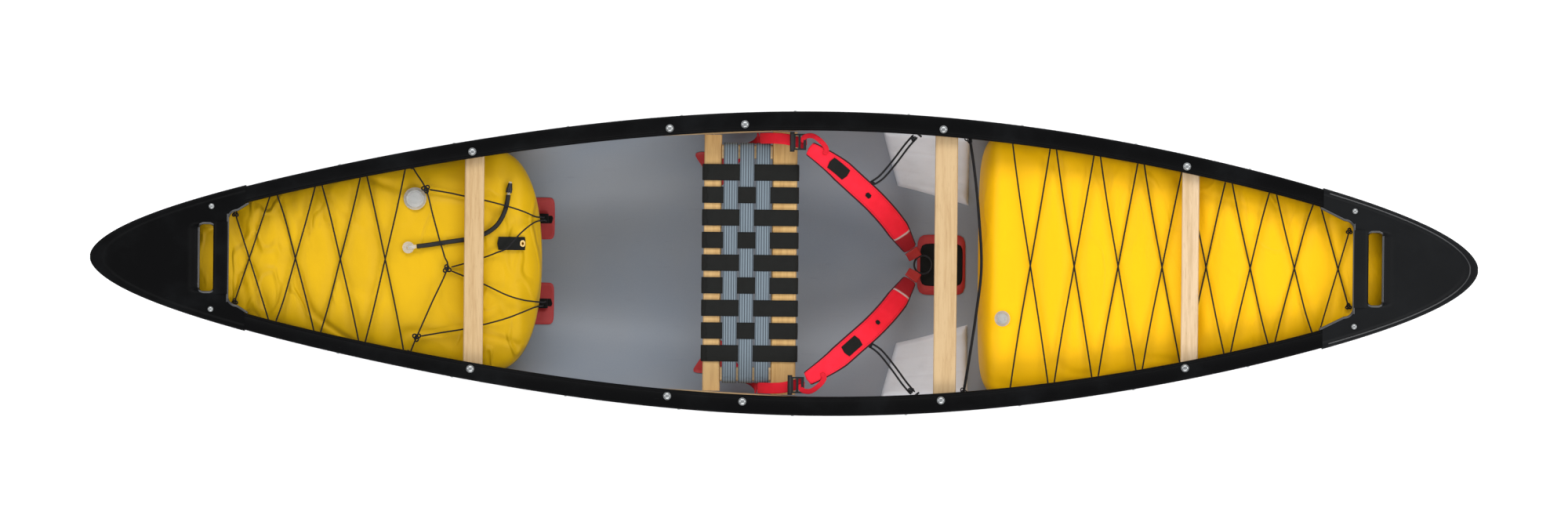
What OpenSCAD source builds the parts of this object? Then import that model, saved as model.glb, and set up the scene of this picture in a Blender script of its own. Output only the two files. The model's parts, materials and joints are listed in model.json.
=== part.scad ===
// Open solo whitewater canoe, outfitted with a webbed seat, thigh straps, knee pads,
// two laced-in airbags and carry-handle decks.
// X runs along the boat towards the bow, Y to port, Z up; the hull stands on Z = 0.

/* [Overall] */
// Length over the two end decks
length = 3522; // [2800:1:4300]
// Greatest width over the gunwales
beam = 778; // [640:1:940]
// Height of the hull rim at midships
centre_depth = 380; // [320:1:460]
// How much higher the rim is at the two ends
sheer_rise = 150; // [80:1:220]
// How much the keel line rises towards the ends
end_rocker = 95; // [40:1:140]

/* [Hull] */
// Thickness of the hull laminate
hull_wall = 6; // [4:0.5:9]
// How far the stem sweeps back at the keel
stem_sweep = 230; // [150:1:300]
// Flare of the topsides, as a share of the half width
flare = 0.06; // [0:0.01:0.12]
// Depth of the flat that the hull stands on
keel_flat = 2.5; // [1.5:0.1:4]

/* [Gunwales] */
// Width of the gunwale seen from above
gunwale_width = 46; // [40:1:56]
// Depth of the gunwale legs below the hull rim
gunwale_drop = 22; // [18:1:30]
// Thickness of the gunwale above the hull rim
gunwale_cap = 6; // [4:0.5:9]
// Thickness of the outer leg of the gunwale
outwale = 13.6; // [11:0.1:16]

/* [Decks] */
// Length of each end deck along the boat
deck_length = 390; // [340:1:440]
// Wall of the moulded deck
deck_wall = 3; // [2.5:0.1:4]
// Distance from the stern tip to its handle slot
stern_slot_at = 274; // [250:1:290]
// Distance from the bow tip to its handle slot
bow_slot_at = 240; // [225:1:260]
// Size of the handle slots along the boat
slot_length = 36; // [30:1:42]
// Length of the stern handle slot across the boat
stern_slot_span = 172; // [130:1:180]
// Length of the bow handle slot across the boat
bow_slot_span = 186; // [130:1:196]
// Width of the handle bar beside each slot
handle_bar = 36; // [30:1:42]

/* [Thwarts] */
// Thickness of the ash thwarts
thwart_thick = 19; // [16:1:24]
// Width of the stern thwart
stern_thwart_width = 50; // [44:1:60]
// Width of the centre thwart
centre_thwart_width = 58; // [48:1:66]
// Width of the bow thwart
bow_thwart_width = 44; // [40:1:56]
// Place of the stern thwart along the boat
stern_thwart_x = -790; // [-840:1:-740]
// Place of the centre thwart along the boat
centre_thwart_x = 412; // [390:1:430]
// Place of the bow thwart along the boat
bow_thwart_x = 1033; // [1000:1:1060]

/* [Seat] */
// Height of the gunwale above the seat frame
seat_drop = 78; // [60:1:100]
// Thickness of the seat rails
rail_thick = 20; // [17:0.5:24]
// Width of the rear seat rail
rear_rail_width = 45; // [38:1:50]
// Width of the front seat rail
front_rail_width = 64; // [52:1:68]
// Distance between the two rails, centre to centre
rail_spacing = 184; // [160:1:215]
// Width of the seat's side bars
crossbar_width = 36; // [30:1:40]
// Room between the seat's side bars and the trusses, for the strap tails
side_gap = 31; // [26:1:60]
// Gap between neighbouring fore-and-aft straps
strap_gap = 16; // [8:1:24]
// Gap between neighbouring athwart straps
cross_strap_gap = 5; // [3:1:10]
// Thickness of the seat straps
strap_thick = 1.6; // [1.2:0.1:2]

/* [Fasteners] */
// Diameter of the gunwale bolts
bolt_d = 6.4; // [5:0.1:8]
// Diameter of the domed bolt heads
bolt_head_d = 20; // [14:0.5:22]
// Clearance of a bolt in its hole, on the diameter
bolt_clearance = 0.8; // [0.4:0.1:1.2]
// Diameter of the lacing cord
cord_d = 4; // [3:0.5:5]

/* [Outfitting] */
// Diameter of the inflation hose
hose_d = 12; // [8:1:14]
// Diameter of the stern airbag's domed valve
stern_valve_d = 44; // [36:1:50]
// Diameter of the bow airbag's valve
bow_valve_d = 26; // [22:1:30]
// Thickness of the thigh strap pads
pad_thick = 12; // [8:1:14]
// Width of the thigh strap pads
pad_width = 56; // [46:1:62]
// Thickness of the knee pads
knee_pad_thick = 22; // [14:1:28]
// Thickness of the glued anchor patches
patch_thick = 3; // [2:0.5:4]

/* [Hidden] */

gap = 0.4;
half_length = length / 2;
half_beam = beam / 2 + deck_wall + gap;
deck_start = half_length - deck_length;

// Insets from the outermost outline, in millimetres of half width
gunwale_inset = deck_wall + gap;
hull_inset = gunwale_inset + outwale + gap;
liner_inset = hull_inset + hull_wall;
inwale_inset = gunwale_inset + gunwale_width;
bolt_inset = gunwale_inset + 31;

// Shape of the outline: the widest point sits a little forward of midships
widest_shift = 0.05;
end_half_width = 4;
bluntness = 0.76;
bluntness_fall = 0.17;
sheer_power = 2.2;
rocker_power = 2.5;

hull_steps = 26;
girth_steps = 16;
spread = 0.6;

ash = [0.86, 0.70, 0.49];
black_plastic = [0.06, 0.06, 0.065];
steel = [0.78, 0.78, 0.76];
red = [0.75, 0.05, 0.07];
yellow = [0.93, 0.73, 0.02];
pad_grey = [0.80, 0.80, 0.80];
web_grey = [0.42, 0.47, 0.53];
clear = [0.85, 0.88, 0.90];
brass = [0.80, 0.62, 0.30];

// ---- Outline and hull surface -------------------------------------------------------

function warp(s) = s - widest_shift * (1 - s * s);

// Share of the full half width at the station s, from -1 at the stern to 1 at the bow
function fullness(s) =
    pow(cos(90 * abs(warp(s))), bluntness - bluntness_fall * pow(warp(s), 2));

function reach(inset) = half_length - 2 * inset;

function half_width(x, inset) =
    end_half_width + (half_beam - inset - end_half_width) * fullness(x / reach(inset));

function sheer_z(x) = centre_depth + sheer_rise * pow(abs(x) / half_length, sheer_power);

function sheer_slope(x) = atan(sign(x) * sheer_rise * sheer_power / half_length
    * pow(abs(x) / half_length, sheer_power - 1));

function keel_z(s, inset) =
    end_rocker * pow(abs(s), rocker_power) - keel_flat + inset - hull_inset;

function section_power(s) = 3.0 - 1.2 * s * s;

// Height share at the girth angle phi, 0 on the keel and 90 on the rim
function section_rise(s, phi) = 1 - pow(max(cos(phi), 0), 2 / section_power(s));

function section_reach(s, phi) = pow(sin(phi), 2 / section_power(s));

// A point on the hull surface: s along, g from -1 (starboard rim) to 1 (port rim)
function hull_point(s, g, inset) =
    let (phi = 90 * abs(g),
         rise = section_rise(s, phi),
         rim_x = s * reach(inset),
         low = keel_z(s, inset),
         width = end_half_width
             + (half_beam - inset - end_half_width) * fullness(s),
         taper = 1 - flare * pow(1 - rise, 2))
    [rim_x - sign(s) * stem_sweep * pow(abs(s), 4) * pow(1 - rise, 2),
     sign(g) * width * section_reach(s, phi) * taper,
     low + (sheer_z(rim_x) - low) * rise];

function rise_at(share, power) = 1 - pow(1 - pow(min(share, 0.999), power), 1 / power);

// Height of an inset hull surface at a place inside the boat
function floor_z(x, y, inset) =
    let (s = x / reach(inset),
         width = end_half_width + (half_beam - inset - end_half_width) * fullness(s),
         power = section_power(s),
         low = keel_z(s, inset),
         first = rise_at(abs(y) / width / (1 - flare), power),
         taper = 1 - flare * pow(1 - first, 2),
         rise = rise_at(abs(y) / width / taper, power))
    low + (sheer_z(x) - low) * rise;

function stations(steps) = [for (i = [-steps : steps])
    let (u = i / steps) spread * u + (1 - spread) * sin(90 * u)];

// ---- Solids from rings --------------------------------------------------------------

// Faces of a closed solid made of rings with the same number of points; cap lists the
// convex polygons that close the first ring
function ring_faces(rings, count, cap) = concat(
    cap,
    [for (i = [0 : rings - 2]) for (j = [0 : count - 1])
        let (k = (j + 1) % count, a = i * count, b = a + count)
        each [[a + j, b + j, b + k], [a + j, b + k, a + k]]],
    [for (face = cap) [for (k = [len(face) - 1 : -1 : 0]) (rings - 1) * count + face[k]]]);

function whole_cap(count) = [[for (j = [0 : count - 1]) j]];

// Cap of a section that is a folded strip: point j faces point count - 1 - j
function folded_cap(count) = [for (j = [0 : count / 2 - 2])
    each [[j, j + 1, count - 2 - j], [j, count - 2 - j, count - 1 - j]]];

module loft(rings, cap = []) {
    count = len(rings[0]);
    polyhedron(points = [for (ring = rings) for (p = ring) p],
               faces = ring_faces(len(rings), count, len(cap) > 0 ? cap : whole_cap(count)),
               convexity = 8);
}

function unit(v) = v / norm(v);

// Direction of travel along a route at one of its points
function heading(route, i) =
    unit(route[min(i + 1, len(route) - 1)] - route[max(i - 1, 0)]);

function side_of(way) = unit(cross([0, 0, 1], way));

// Round tube along a route; its sections stay level with the route's own side
function tube_rings(route, radius, sides) = [for (i = [0 : len(route) - 1])
    let (way = heading(route, i), side = side_of(way), up = cross(way, side))
    [for (j = [0 : sides - 1])
        let (a = 360 * (j + 0.5) / sides)
        route[i] + radius * (cos(a) * side + sin(a) * up)]];

module tube(route, diameter, sides = 8) {
    loft(tube_rings(route, diameter / 2, sides));
}

// Flat strip along a route, with its broad face turned towards a given direction
function strip_rings(route, width, thick, facing) = [for (i = [0 : len(route) - 1])
    let (way = heading(route, i), side = unit(cross(facing, way)), up = cross(way, side))
    [for (c = [[1, 1], [-1, 1], [-1, -1], [1, -1]])
        route[i] + c[0] * side * width / 2 + c[1] * up * thick / 2]];

module strip(route, width, thick, facing = [0, 0, 1]) {
    loft(strip_rings(route, width, thick, facing));
}

// Flat strip whose width always lies across the boat
module cross_strip(route, width, thick) {
    side = [0, -1, 0];
    loft([for (i = [0 : len(route) - 1])
        let (up = unit(cross(heading(route, i), side)))
        [for (c = [[1, 1], [-1, 1], [-1, -1], [1, -1]])
            route[i] + c[0] * side * width / 2 + c[1] * up * thick / 2]]);
}

function mirrored(route, side) = [for (p = route) [p[0], side * p[1], p[2]]];

// Rounded bar profile of exact arcs
module round_bar(width, thick, radius) {
    square([width - 2 * radius, thick], center = true);
    square([width, thick - 2 * radius], center = true);
    for (sx = [-1, 1])
        for (sy = [-1, 1])
            translate([sx * (width / 2 - radius), sy * (thick / 2 - radius)])
                circle(r = radius, $fn = 24);
}

// Puts children at a place on the rim, turned with the slope of the sheer line
module on_rim(x, y) {
    translate([x, y, sheer_z(x)])
        rotate([0, -sheer_slope(x), 0])
            children();
}

// ---- Hull ---------------------------------------------------------------------------

function hull_grid(inset) = [for (s = stations(hull_steps))
    for (j = [-girth_steps : girth_steps]) hull_point(s, j / girth_steps, inset)];

hull_rows = 2 * hull_steps + 1;
hull_cols = 2 * girth_steps + 1;
inner_start = hull_rows * hull_cols;

function skin_faces(start, flip) = [for (i = [0 : hull_rows - 2])
    for (j = [0 : hull_cols - 2])
    let (a = start + i * hull_cols + j,
         quad = [a, a + hull_cols, a + hull_cols + 1, a + 1])
    flip ? [for (k = [3 : -1 : 0]) quad[k]] : quad];

// Closes the narrow blunt stem between the port and starboard edges of one end row
function stem_faces(start, flip) = [for (j = [1 : girth_steps])
    let (mid = start + girth_steps,
         outer = [mid - j, mid - j + 1, mid + j - 1, mid + j],
         face = j == 1 ? [mid - 1, mid, mid + 1] : outer)
    flip ? [for (k = [len(face) - 1 : -1 : 0]) face[k]] : face];

function rim_faces() =
    let (last = hull_cols - 1, row = (hull_rows - 1) * hull_cols)
    concat(
        [for (i = [0 : hull_rows - 2]) let (a = i * hull_cols)
            [a, inner_start + a, inner_start + a + hull_cols, a + hull_cols]],
        [for (i = [0 : hull_rows - 2]) let (a = i * hull_cols + last)
            [a, a + hull_cols, inner_start + a + hull_cols, inner_start + a]],
        [[0, last, inner_start + last, inner_start],
         [row, inner_start + row, inner_start + row + last, row + last]]);

module hull_shell() {
    polyhedron(
        points = concat(hull_grid(hull_inset), hull_grid(liner_inset)),
        faces = concat(
            skin_faces(0, false), skin_faces(inner_start, true),
            stem_faces(0, false),
            stem_faces((hull_rows - 1) * hull_cols, true),
            stem_faces(inner_start, true),
            stem_faces(inner_start + (hull_rows - 1) * hull_cols, false),
            rim_faces()),
        convexity = 10);
}

// Lacing goes through pairs of holes under the gunwales
lace_drop = 60;
lace_play = 3.4;
hole_pair = 12;
bow_lace_start = centre_thwart_x + 162;
bow_lace_count = 8;
bow_lace_pitch = (deck_start - 13 - bow_lace_start) / (bow_lace_count - 1);
stern_lace_start = stern_thwart_x - 172;
stern_lace_count = 4;
stern_lace_pitch = -(deck_start - 67 + stern_lace_start) / (stern_lace_count - 1);
function lace_x(start, pitch, i) = start + pitch * i;
function lace_z(x) = sheer_z(x) - lace_drop;

module lace_holes(start, pitch, count) {
    for (i = [0 : count - 1])
        for (end = [-1, 1])
            let (x = lace_x(start, pitch, i) + end * hole_pair / 2)
            translate([x, 0, lace_z(lace_x(start, pitch, i))])
                rotate([90, 0, 0])
                    cylinder(d = cord_d + lace_play, h = beam, center = true, $fn = 16);
}

module boat_hull() {
    color(black_plastic)
        difference() {
            intersection() {
                hull_shell();
                translate([-length, -beam, 0])
                    cube([2 * length, 2 * beam, 2 * centre_depth + sheer_rise]);
            }
            lace_holes(bow_lace_start, bow_lace_pitch, bow_lace_count);
            lace_holes(stern_lace_start, stern_lace_pitch, stern_lace_count);
        }
}

// ---- Gunwales -----------------------------------------------------------------------

gunwale_reach = half_length - 150;
gunwale_steps = 24;
gunwale_stations = [for (s = stations(gunwale_steps)) s * gunwale_reach];
gunwale_top = gunwale_cap;
slot_gap = 1.4;
slot_out = hull_inset - slot_gap;
slot_in = liner_inset + slot_gap;

// Profile as [inset, height above the rim], going round the section
gunwale_profile = [
    [gunwale_inset, -gunwale_drop], [gunwale_inset, gunwale_top - 5],
    [gunwale_inset + 1.5, gunwale_top - 1.5], [gunwale_inset + 5, gunwale_top],
    [inwale_inset - 5, gunwale_top], [inwale_inset - 1.5, gunwale_top - 1.5],
    [inwale_inset, gunwale_top - 5], [inwale_inset, 3 - gunwale_drop],
    [inwale_inset - 3, -gunwale_drop], [slot_in, -gunwale_drop],
    [slot_in, 2 * gap], [slot_out, 2 * gap], [slot_out, -gunwale_drop]
];

// Convex pieces of the section: outer leg, top and inner leg
gunwale_cap_faces = [[0, 1, 11, 12], [1, 2, 3, 4, 5, 6, 10, 11], [6, 7, 8, 9, 10]];

module port_gunwale() {
    color(black_plastic)
        difference() {
            loft([for (x = gunwale_stations)
                [for (p = gunwale_profile) [x, half_width(x, p[0]), sheer_z(x) + p[1]]]],
                gunwale_cap_faces);
            for (x = thwart_bolt_x)
                on_rim(x, half_width(x, bolt_inset))
                    cylinder(d = bolt_d + bolt_clearance, h = 90, center = true, $fn = 24);
            for (x = seat_bolt_x)
                translate([x, half_width(x, bolt_inset), sheer_z(x)])
                    cylinder(d = bolt_d + bolt_clearance, h = 90, center = true, $fn = 24);
            for (x = deck_screw_x)
                on_rim(x, half_width(x, bolt_inset))
                    cylinder(d = screw_d + gap, h = 90, center = true, $fn = 24);
        }
}

module starboard_gunwale() {
    mirror([0, 1, 0]) port_gunwale();
}

// Rivets fasten the outer leg to the hull between the bolts
rivet_d = 5;
rivet_head_d = 9;
rivet_drop = 12;
rivet_pitch = (deck_start - 211) / 4;
rivet_x = [for (i = [-4 : 4]) i * rivet_pitch + 25];

function plan_slope(x, inset) = atan((half_width(x + 5, inset) - half_width(x - 5, inset)) / 10);

module gunwale_rivets() {
    grip = outwale + hull_wall;
    color(steel)
        for (side = [-1, 1])
            for (x = rivet_x)
                translate([x, side * half_width(x, gunwale_inset), sheer_z(x) - rivet_drop])
                    rotate([0, 0, side * plan_slope(x, gunwale_inset)])
                        rotate([-side * 90, 0, 0]) {
                            translate([0, 0, -grip])
                                cylinder(d = rivet_d, h = grip + 0.5, $fn = 24);
                            translate([0, 0, gap])
                                cylinder(d1 = rivet_head_d, d2 = rivet_d, h = 1.8, $fn = 24);
                        }
}

// ---- Decks --------------------------------------------------------------------------

deck_skirt = gunwale_drop + 5;
deck_top = gunwale_top + gap + deck_wall;
deck_steps = 14;
deck_corner = 3.5;
arm_inset = inwale_inset + 5;
screw_d = 5;
screw_head_d = 14;
deck_screw_x = [-(half_length - 303), half_length - 309];

// Solid that fills the deck's outer shape, or its inside when shrunk
function deck_rings(dir, inset, top, corner, from_s) = [for (i = [0 : deck_steps])
    let (u = i / deck_steps,
         s = from_s + (1 - from_s) * sin(90 * u),
         x = dir * s * reach(inset),
         w = half_width(x, inset),
         r = min(corner, w * 0.5),
         z = sheer_z(x))
    [[x, -w, z - deck_skirt], [x, -w, z + top - r], [x, -w + r * 0.3, z + top - r * 0.3],
     [x, -w + r, z + top], [x, w - r, z + top], [x, w - r * 0.3, z + top - r * 0.3],
     [x, w, z + top - r], [x, w, z - deck_skirt]]];

module deck_fill(dir, inset, top, corner, drop, from_s) {
    rings = deck_rings(dir, inset, top, corner, from_s);
    lowered = [for (ring = rings) [for (k = [0 : 7])
        ring[k] - [0, 0, (k == 0 || k == 7) ? drop : 0]]];
    order = dir < 0 ? lowered : [for (ring = lowered) [for (k = [7 : -1 : 0]) ring[k]]];
    loft(order);
}

// Rounded slot cut straight down through the deck
module slot_cut(x, size_x, size_y, radius) {
    translate([x, 0, 0])
        linear_extrude(height = 2 * centre_depth + sheer_rise) {
            square([size_x - 2 * radius, size_y], center = true);
            square([size_x, size_y - 2 * radius], center = true);
            for (sx = [-1, 1])
                for (sy = [-1, 1])
                    translate([sx * (size_x / 2 - radius), sy * (size_y / 2 - radius)])
                        circle(r = radius, $fn = 32);
        }
}

// Bay between the two arms, inboard of the handle bar
module arm_bay(dir, bar_edge) {
    near = deck_start - 30;
    fillet = 24;
    w_near = half_width(dir * near, arm_inset);
    w_far = half_width(dir * bar_edge, arm_inset) - 4;
    linear_extrude(height = 2 * centre_depth + sheer_rise)
        hull() {
            for (sy = [-1, 1]) {
                translate([dir * (bar_edge - fillet), sy * (w_far - fillet)])
                    circle(r = fillet, $fn = 32);
                translate([dir * near, sy * (w_near - fillet)])
                    square(fillet, center = true);
            }
        }
}

module deck(dir, slot_at, slot_span) {
    slot_x = half_length - slot_at - slot_length / 2;
    bar_edge = slot_x - slot_length / 2 - handle_bar;
    bar_x = slot_x - slot_length / 2 - handle_bar / 2;
    bar_z = sheer_z(bar_x) + deck_top - bar_thick / 2 + 1.2;
    color(black_plastic)
        difference() {
            union() {
                difference() {
                    deck_fill(dir, 0, deck_top, deck_corner, 0, deck_start / half_length);
                    deck_fill(dir, deck_wall, deck_top - deck_wall, 1.5, 20,
                              (deck_start - 20) / half_length);
                }
                translate([dir * bar_x, 0, bar_z])
                    rotate([90, 0, 0])
                        linear_extrude(height = slot_span, center = true)
                            round_bar(handle_bar, bar_thick, bar_thick * 0.45);
            }
            slot_cut(dir * slot_x, slot_length, slot_span, 12);
            arm_bay(dir, bar_edge);
            for (x = deck_screw_x)
                for (side = [-1, 1])
                    on_rim(x, side * half_width(x, bolt_inset))
                        cylinder(d = screw_d + gap, h = 90, center = true, $fn = 24);
        }
}

bar_thick = 15;

module bow_deck() { deck(1, bow_slot_at, bow_slot_span); }
module stern_deck() { deck(-1, stern_slot_at, stern_slot_span); }

module deck_screws() {
    color(steel)
        for (x = deck_screw_x)
            for (side = [-1, 1])
                on_rim(x, side * half_width(x, bolt_inset)) {
                    translate([0, 0, deck_top - 22])
                        cylinder(d = screw_d, h = 22.6, $fn = 24);
                    translate([0, 0, deck_top + 0.5])
                        cylinder(d1 = screw_head_d, d2 = screw_head_d * 0.6, h = 3, $fn = 32);
                }
}

// ---- Thwarts ------------------------------------------------------------------------

thwart_x = [stern_thwart_x, centre_thwart_x, bow_thwart_x];
thwart_width = [stern_thwart_width, centre_thwart_width, bow_thwart_width];
bolt_offset = -8;
thwart_bolt_x = [for (x = thwart_x) x + bolt_offset];
thwart_gap = gunwale_drop + gap;

module thwart(i) {
    x = thwart_x[i];
    w = thwart_width[i];
    edges = [x - w / 2, x + w / 2];
    half_span = min(half_width(edges[0], liner_inset), half_width(edges[1], liner_inset)) - 4;
    color(ash)
        difference() {
            on_rim(x, 0)
                translate([0, 0, -thwart_gap - thwart_thick / 2])
                    rotate([90, 0, 0])
                        linear_extrude(height = 2 * half_span, center = true)
                            round_bar(w, thwart_thick, 6);
            for (side = [-1, 1])
                on_rim(thwart_bolt_x[i], side * half_width(thwart_bolt_x[i], bolt_inset))
                    cylinder(d = bolt_d + bolt_clearance, h = 140, center = true, $fn = 24);
        }
}

module stern_thwart() { thwart(0); }
module centre_thwart() { thwart(1); }
module bow_thwart() { thwart(2); }

// Domed head on a short square neck, seated on a flat face
module domed_bolt(shank, head_d) {
    cylinder(d1 = head_d, d2 = head_d * 0.62, h = 3.6, $fn = 40);
    translate([0, 0, -shank])
        cylinder(d = bolt_d, h = shank + 0.1, $fn = 24);
}

// Washer and nut in one ring, with a running hole for the shank
module washer_and_nut() {
    difference() {
        union() {
            translate([0, 0, -1.5])
                cylinder(d = 14, h = 1.5, $fn = 32);
            translate([0, 0, -7])
                cylinder(d = 11.5, h = 5.6, $fn = 6);
        }
        translate([0, 0, -9])
            cylinder(d = bolt_d + gap / 2, h = 12, $fn = 24);
    }
}

thwart_stack = gunwale_top + thwart_gap + thwart_thick;

module thwart_bolts() {
    color(steel)
        for (x = thwart_bolt_x)
            for (side = [-1, 1])
                on_rim(x, side * half_width(x, bolt_inset))
                    translate([0, 0, gunwale_top + gap / 2])
                        domed_bolt(thwart_stack + 11, bolt_head_d);
}

module thwart_nuts() {
    color(steel)
        for (x = thwart_bolt_x)
            for (side = [-1, 1])
                on_rim(x, side * half_width(x, bolt_inset))
                    translate([0, 0, gunwale_top - thwart_stack - gap])
                        washer_and_nut();
}

// ---- Seat ---------------------------------------------------------------------------

rear_rail_x = -rail_spacing;
front_rail_x = 0;
truss_aft = rear_rail_x - 136;
truss_fore = front_rail_x + 42;
truss_thick = 16;
truss_foot = 24;
seat_bolt_x = [rear_rail_x - 111, front_rail_x - 103];
seat_z = centre_depth - seat_drop;

rails_from = rear_rail_x + rear_rail_width / 2;
rails_to = front_rail_x - front_rail_width / 2;

// Inner face of the truss, a straight line just under the inner edge of the gunwale
function truss_face(x) =
    let (a = half_width(truss_aft, inwale_inset), b = half_width(truss_fore, inwale_inset))
    a + (b - a) * (x - truss_aft) / (truss_fore - truss_aft) - 2;
truss_turn = atan((truss_face(truss_fore) - truss_face(truss_aft)) / (truss_fore - truss_aft));
truss_top = centre_depth - gunwale_drop - gap;
crossbar_spacing = 2 * truss_face((rails_from + rails_to) / 2) - 2 * side_gap - crossbar_width;

truss_block = 18;
truss_block_wide = inwale_inset - liner_inset;
nut_room = 16;

// Plate that carries the rails, with a block along its top that takes the gunwale bolts
module seat_truss(side) {
    long = truss_fore - truss_aft;
    foot = seat_z - rail_thick - truss_foot;
    color(ash)
        difference() {
            translate([truss_aft, side * truss_face(truss_aft), 0])
                rotate([0, 0, side * truss_turn])
                    mirror([0, side > 0 ? 0 : 1, 0]) {
                        translate([0, truss_thick, 0])
                            rotate([90, 0, 0])
                                linear_extrude(height = truss_thick)
                                    polygon([[0, truss_top + 1], [long, truss_top],
                                             [long, foot + 8], [long - 12, foot],
                                             [92, foot], [0, truss_top - 50]]);
                        translate([0, truss_block_wide, 0])
                            rotate([90, 0, 0])
                                linear_extrude(height = truss_block_wide)
                                    polygon([[0, truss_top + 1], [long, truss_top],
                                             [long, truss_top - truss_block],
                                             [0, truss_top - truss_block + 1]]);
                    }
            for (x = seat_bolt_x)
                translate([x, side * half_width(x, bolt_inset), centre_depth])
                    cylinder(d = bolt_d + bolt_clearance, h = 400, center = true, $fn = 24);
            for (x = seat_bolt_x)
                translate([x, side * half_width(x, bolt_inset), truss_top - truss_block - 20])
                    cylinder(d = nut_room, h = 20, $fn = 32);
            for (x = [rear_rail_x, front_rail_x])
                translate([x, side * truss_face(x), seat_z - rail_thick / 2])
                    rotate([90, 0, 0])
                        cylinder(d = screw_d + gap, h = 120, center = true, $fn = 24);
        }
}

module port_seat_truss() { seat_truss(1); }
module starboard_seat_truss() { seat_truss(-1); }

seat_nut_z = truss_top - truss_block - gap;

module seat_bolts() {
    color(steel)
        for (x = seat_bolt_x)
            for (side = [-1, 1])
                translate([x, side * half_width(x, bolt_inset), sheer_z(x) + gunwale_top + gap])
                    domed_bolt(sheer_z(x) + gunwale_top - seat_nut_z + 11, bolt_head_d);
}

module seat_nuts() {
    color(steel)
        for (x = seat_bolt_x)
            for (side = [-1, 1])
                translate([x, side * half_width(x, bolt_inset), seat_nut_z])
                    washer_and_nut();
}

module seat_rail(x, w) {
    half_span = truss_face(x - w / 2) - gap;
    color(ash)
        difference() {
            translate([x, 0, seat_z - rail_thick / 2])
                rotate([90, 0, 0])
                    linear_extrude(height = 2 * half_span, center = true)
                        round_bar(w, rail_thick, 7);
            for (side = [-1, 1])
                translate([x, side * half_span, seat_z - rail_thick / 2])
                    rotate([90, 0, 0])
                        cylinder(d = screw_d, h = 70, center = true, $fn = 24);
        }
}

module seat_rear_rail() { seat_rail(rear_rail_x, rear_rail_width); }
module seat_front_rail() { seat_rail(front_rail_x, front_rail_width); }

module seat_crossbar(side) {
    color(ash)
        translate([(rails_from + rails_to) / 2, side * crossbar_spacing / 2,
                   seat_z - rail_thick / 2])
            rotate([90, 0, 90])
                linear_extrude(height = rails_to - rails_from - gap / 2, center = true)
                    round_bar(crossbar_width, rail_thick, 6);
}

module port_seat_crossbar() { seat_crossbar(1); }
module starboard_seat_crossbar() { seat_crossbar(-1); }

module seat_rail_screws() {
    color(steel)
        for (x = [rear_rail_x, front_rail_x])
            for (side = [-1, 1])
                translate([x, side * truss_face(x), seat_z - rail_thick / 2])
                    rotate([-side * 90, 0, 0]) {
                        translate([0, 0, truss_thick + 1])
                            cylinder(d1 = 11, d2 = 8, h = 2.4, $fn = 24);
                        translate([0, 0, -30])
                            cylinder(d = screw_d - gap / 4, h = truss_thick + 31.1, $fn = 24);
                    }
}

// Flat loop of webbing round two bars; the section is drawn in its own plane
module web_loop(long, deep, width) {
    linear_extrude(height = width, center = true)
        difference() {
            round_bar(long + 2 * strap_thick, deep + 2 * strap_thick, 8.5);
            round_bar(long, deep, 7);
        }
}

fore_aft_count = 9;
cross_strap_count = 3;
weave_lift = strap_thick + gap;
strap_pitch = (crossbar_spacing - crossbar_width - 12) / fore_aft_count;
strap_width = strap_pitch - strap_gap;
cross_strap_pitch = (rails_to - rails_from - cross_strap_gap) / cross_strap_count;
cross_strap_width = cross_strap_pitch - cross_strap_gap;

module seat_fore_aft_straps() {
    long = rail_spacing + rear_rail_width / 2 + front_rail_width / 2 + 2 * gap;
    mid = (rear_rail_x - rear_rail_width / 2 + front_rail_x + front_rail_width / 2) / 2;
    color(black_plastic)
        for (i = [0 : fore_aft_count - 1])
            translate([mid, (i - (fore_aft_count - 1) / 2) * strap_pitch,
                       seat_z - rail_thick / 2])
                rotate([90, 0, 0])
                    web_loop(long, rail_thick + 4 * weave_lift, strap_width);
}

module seat_athwart_straps() {
    long = crossbar_spacing + crossbar_width + 2 * gap;
    mid = (rails_from + rails_to) / 2;
    color(web_grey)
        for (i = [-1 : cross_strap_count - 2])
            translate([mid + i * cross_strap_pitch, 0, seat_z - rail_thick / 2])
                rotate([90, 0, 90])
                    web_loop(long, rail_thick + 2 * gap, cross_strap_width);
}

// ---- Knee pads ----------------------------------------------------------------------

knee_aft = 248;
knee_fore = 478;
knee_steps = 8;
knee_low = 0.36;
knee_high = 0.80;

module port_knee_pad() {
    cols = 8;
    rings = [for (i = [0 : knee_steps])
        let (x = knee_aft + (knee_fore - knee_aft) * i / knee_steps,
             s = x / reach(liner_inset),
             low = knee_low + 0.10 * (1 - i / knee_steps))
        concat(
            [for (j = [0 : cols])
                hull_point(s, low + (knee_high - low) * j / cols, liner_inset + 1)],
            [for (j = [cols : -1 : 0])
                let (u = j / cols,
                     swell = 0.25 + 0.75 * sqrt(max(sin(180 * (0.08 + 0.86 * u)), 0)))
                hull_point(s, low + (knee_high - low) * u,
                           liner_inset + 1 + knee_pad_thick * swell)])];
    color(pad_grey) loft(rings, folded_cap(2 * cols + 2));
}

module starboard_knee_pad() {
    mirror([0, 1, 0]) port_knee_pad();
}

// ---- Thigh straps -------------------------------------------------------------------

// Routes below are set out in a boat of this beam and depth, and follow both
drawn_beam = 778;
drawn_depth = 380;
function fitted(route) = [for (p = route)
    [p[0], p[1] * beam / drawn_beam, p[2] * centre_depth / drawn_depth]];

// Place of the webbing beside the seat
tail_y = crossbar_spacing / 2 + crossbar_width / 2 + side_gap / 2 + 1.5;
tail_z = seat_z + 42;

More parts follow.
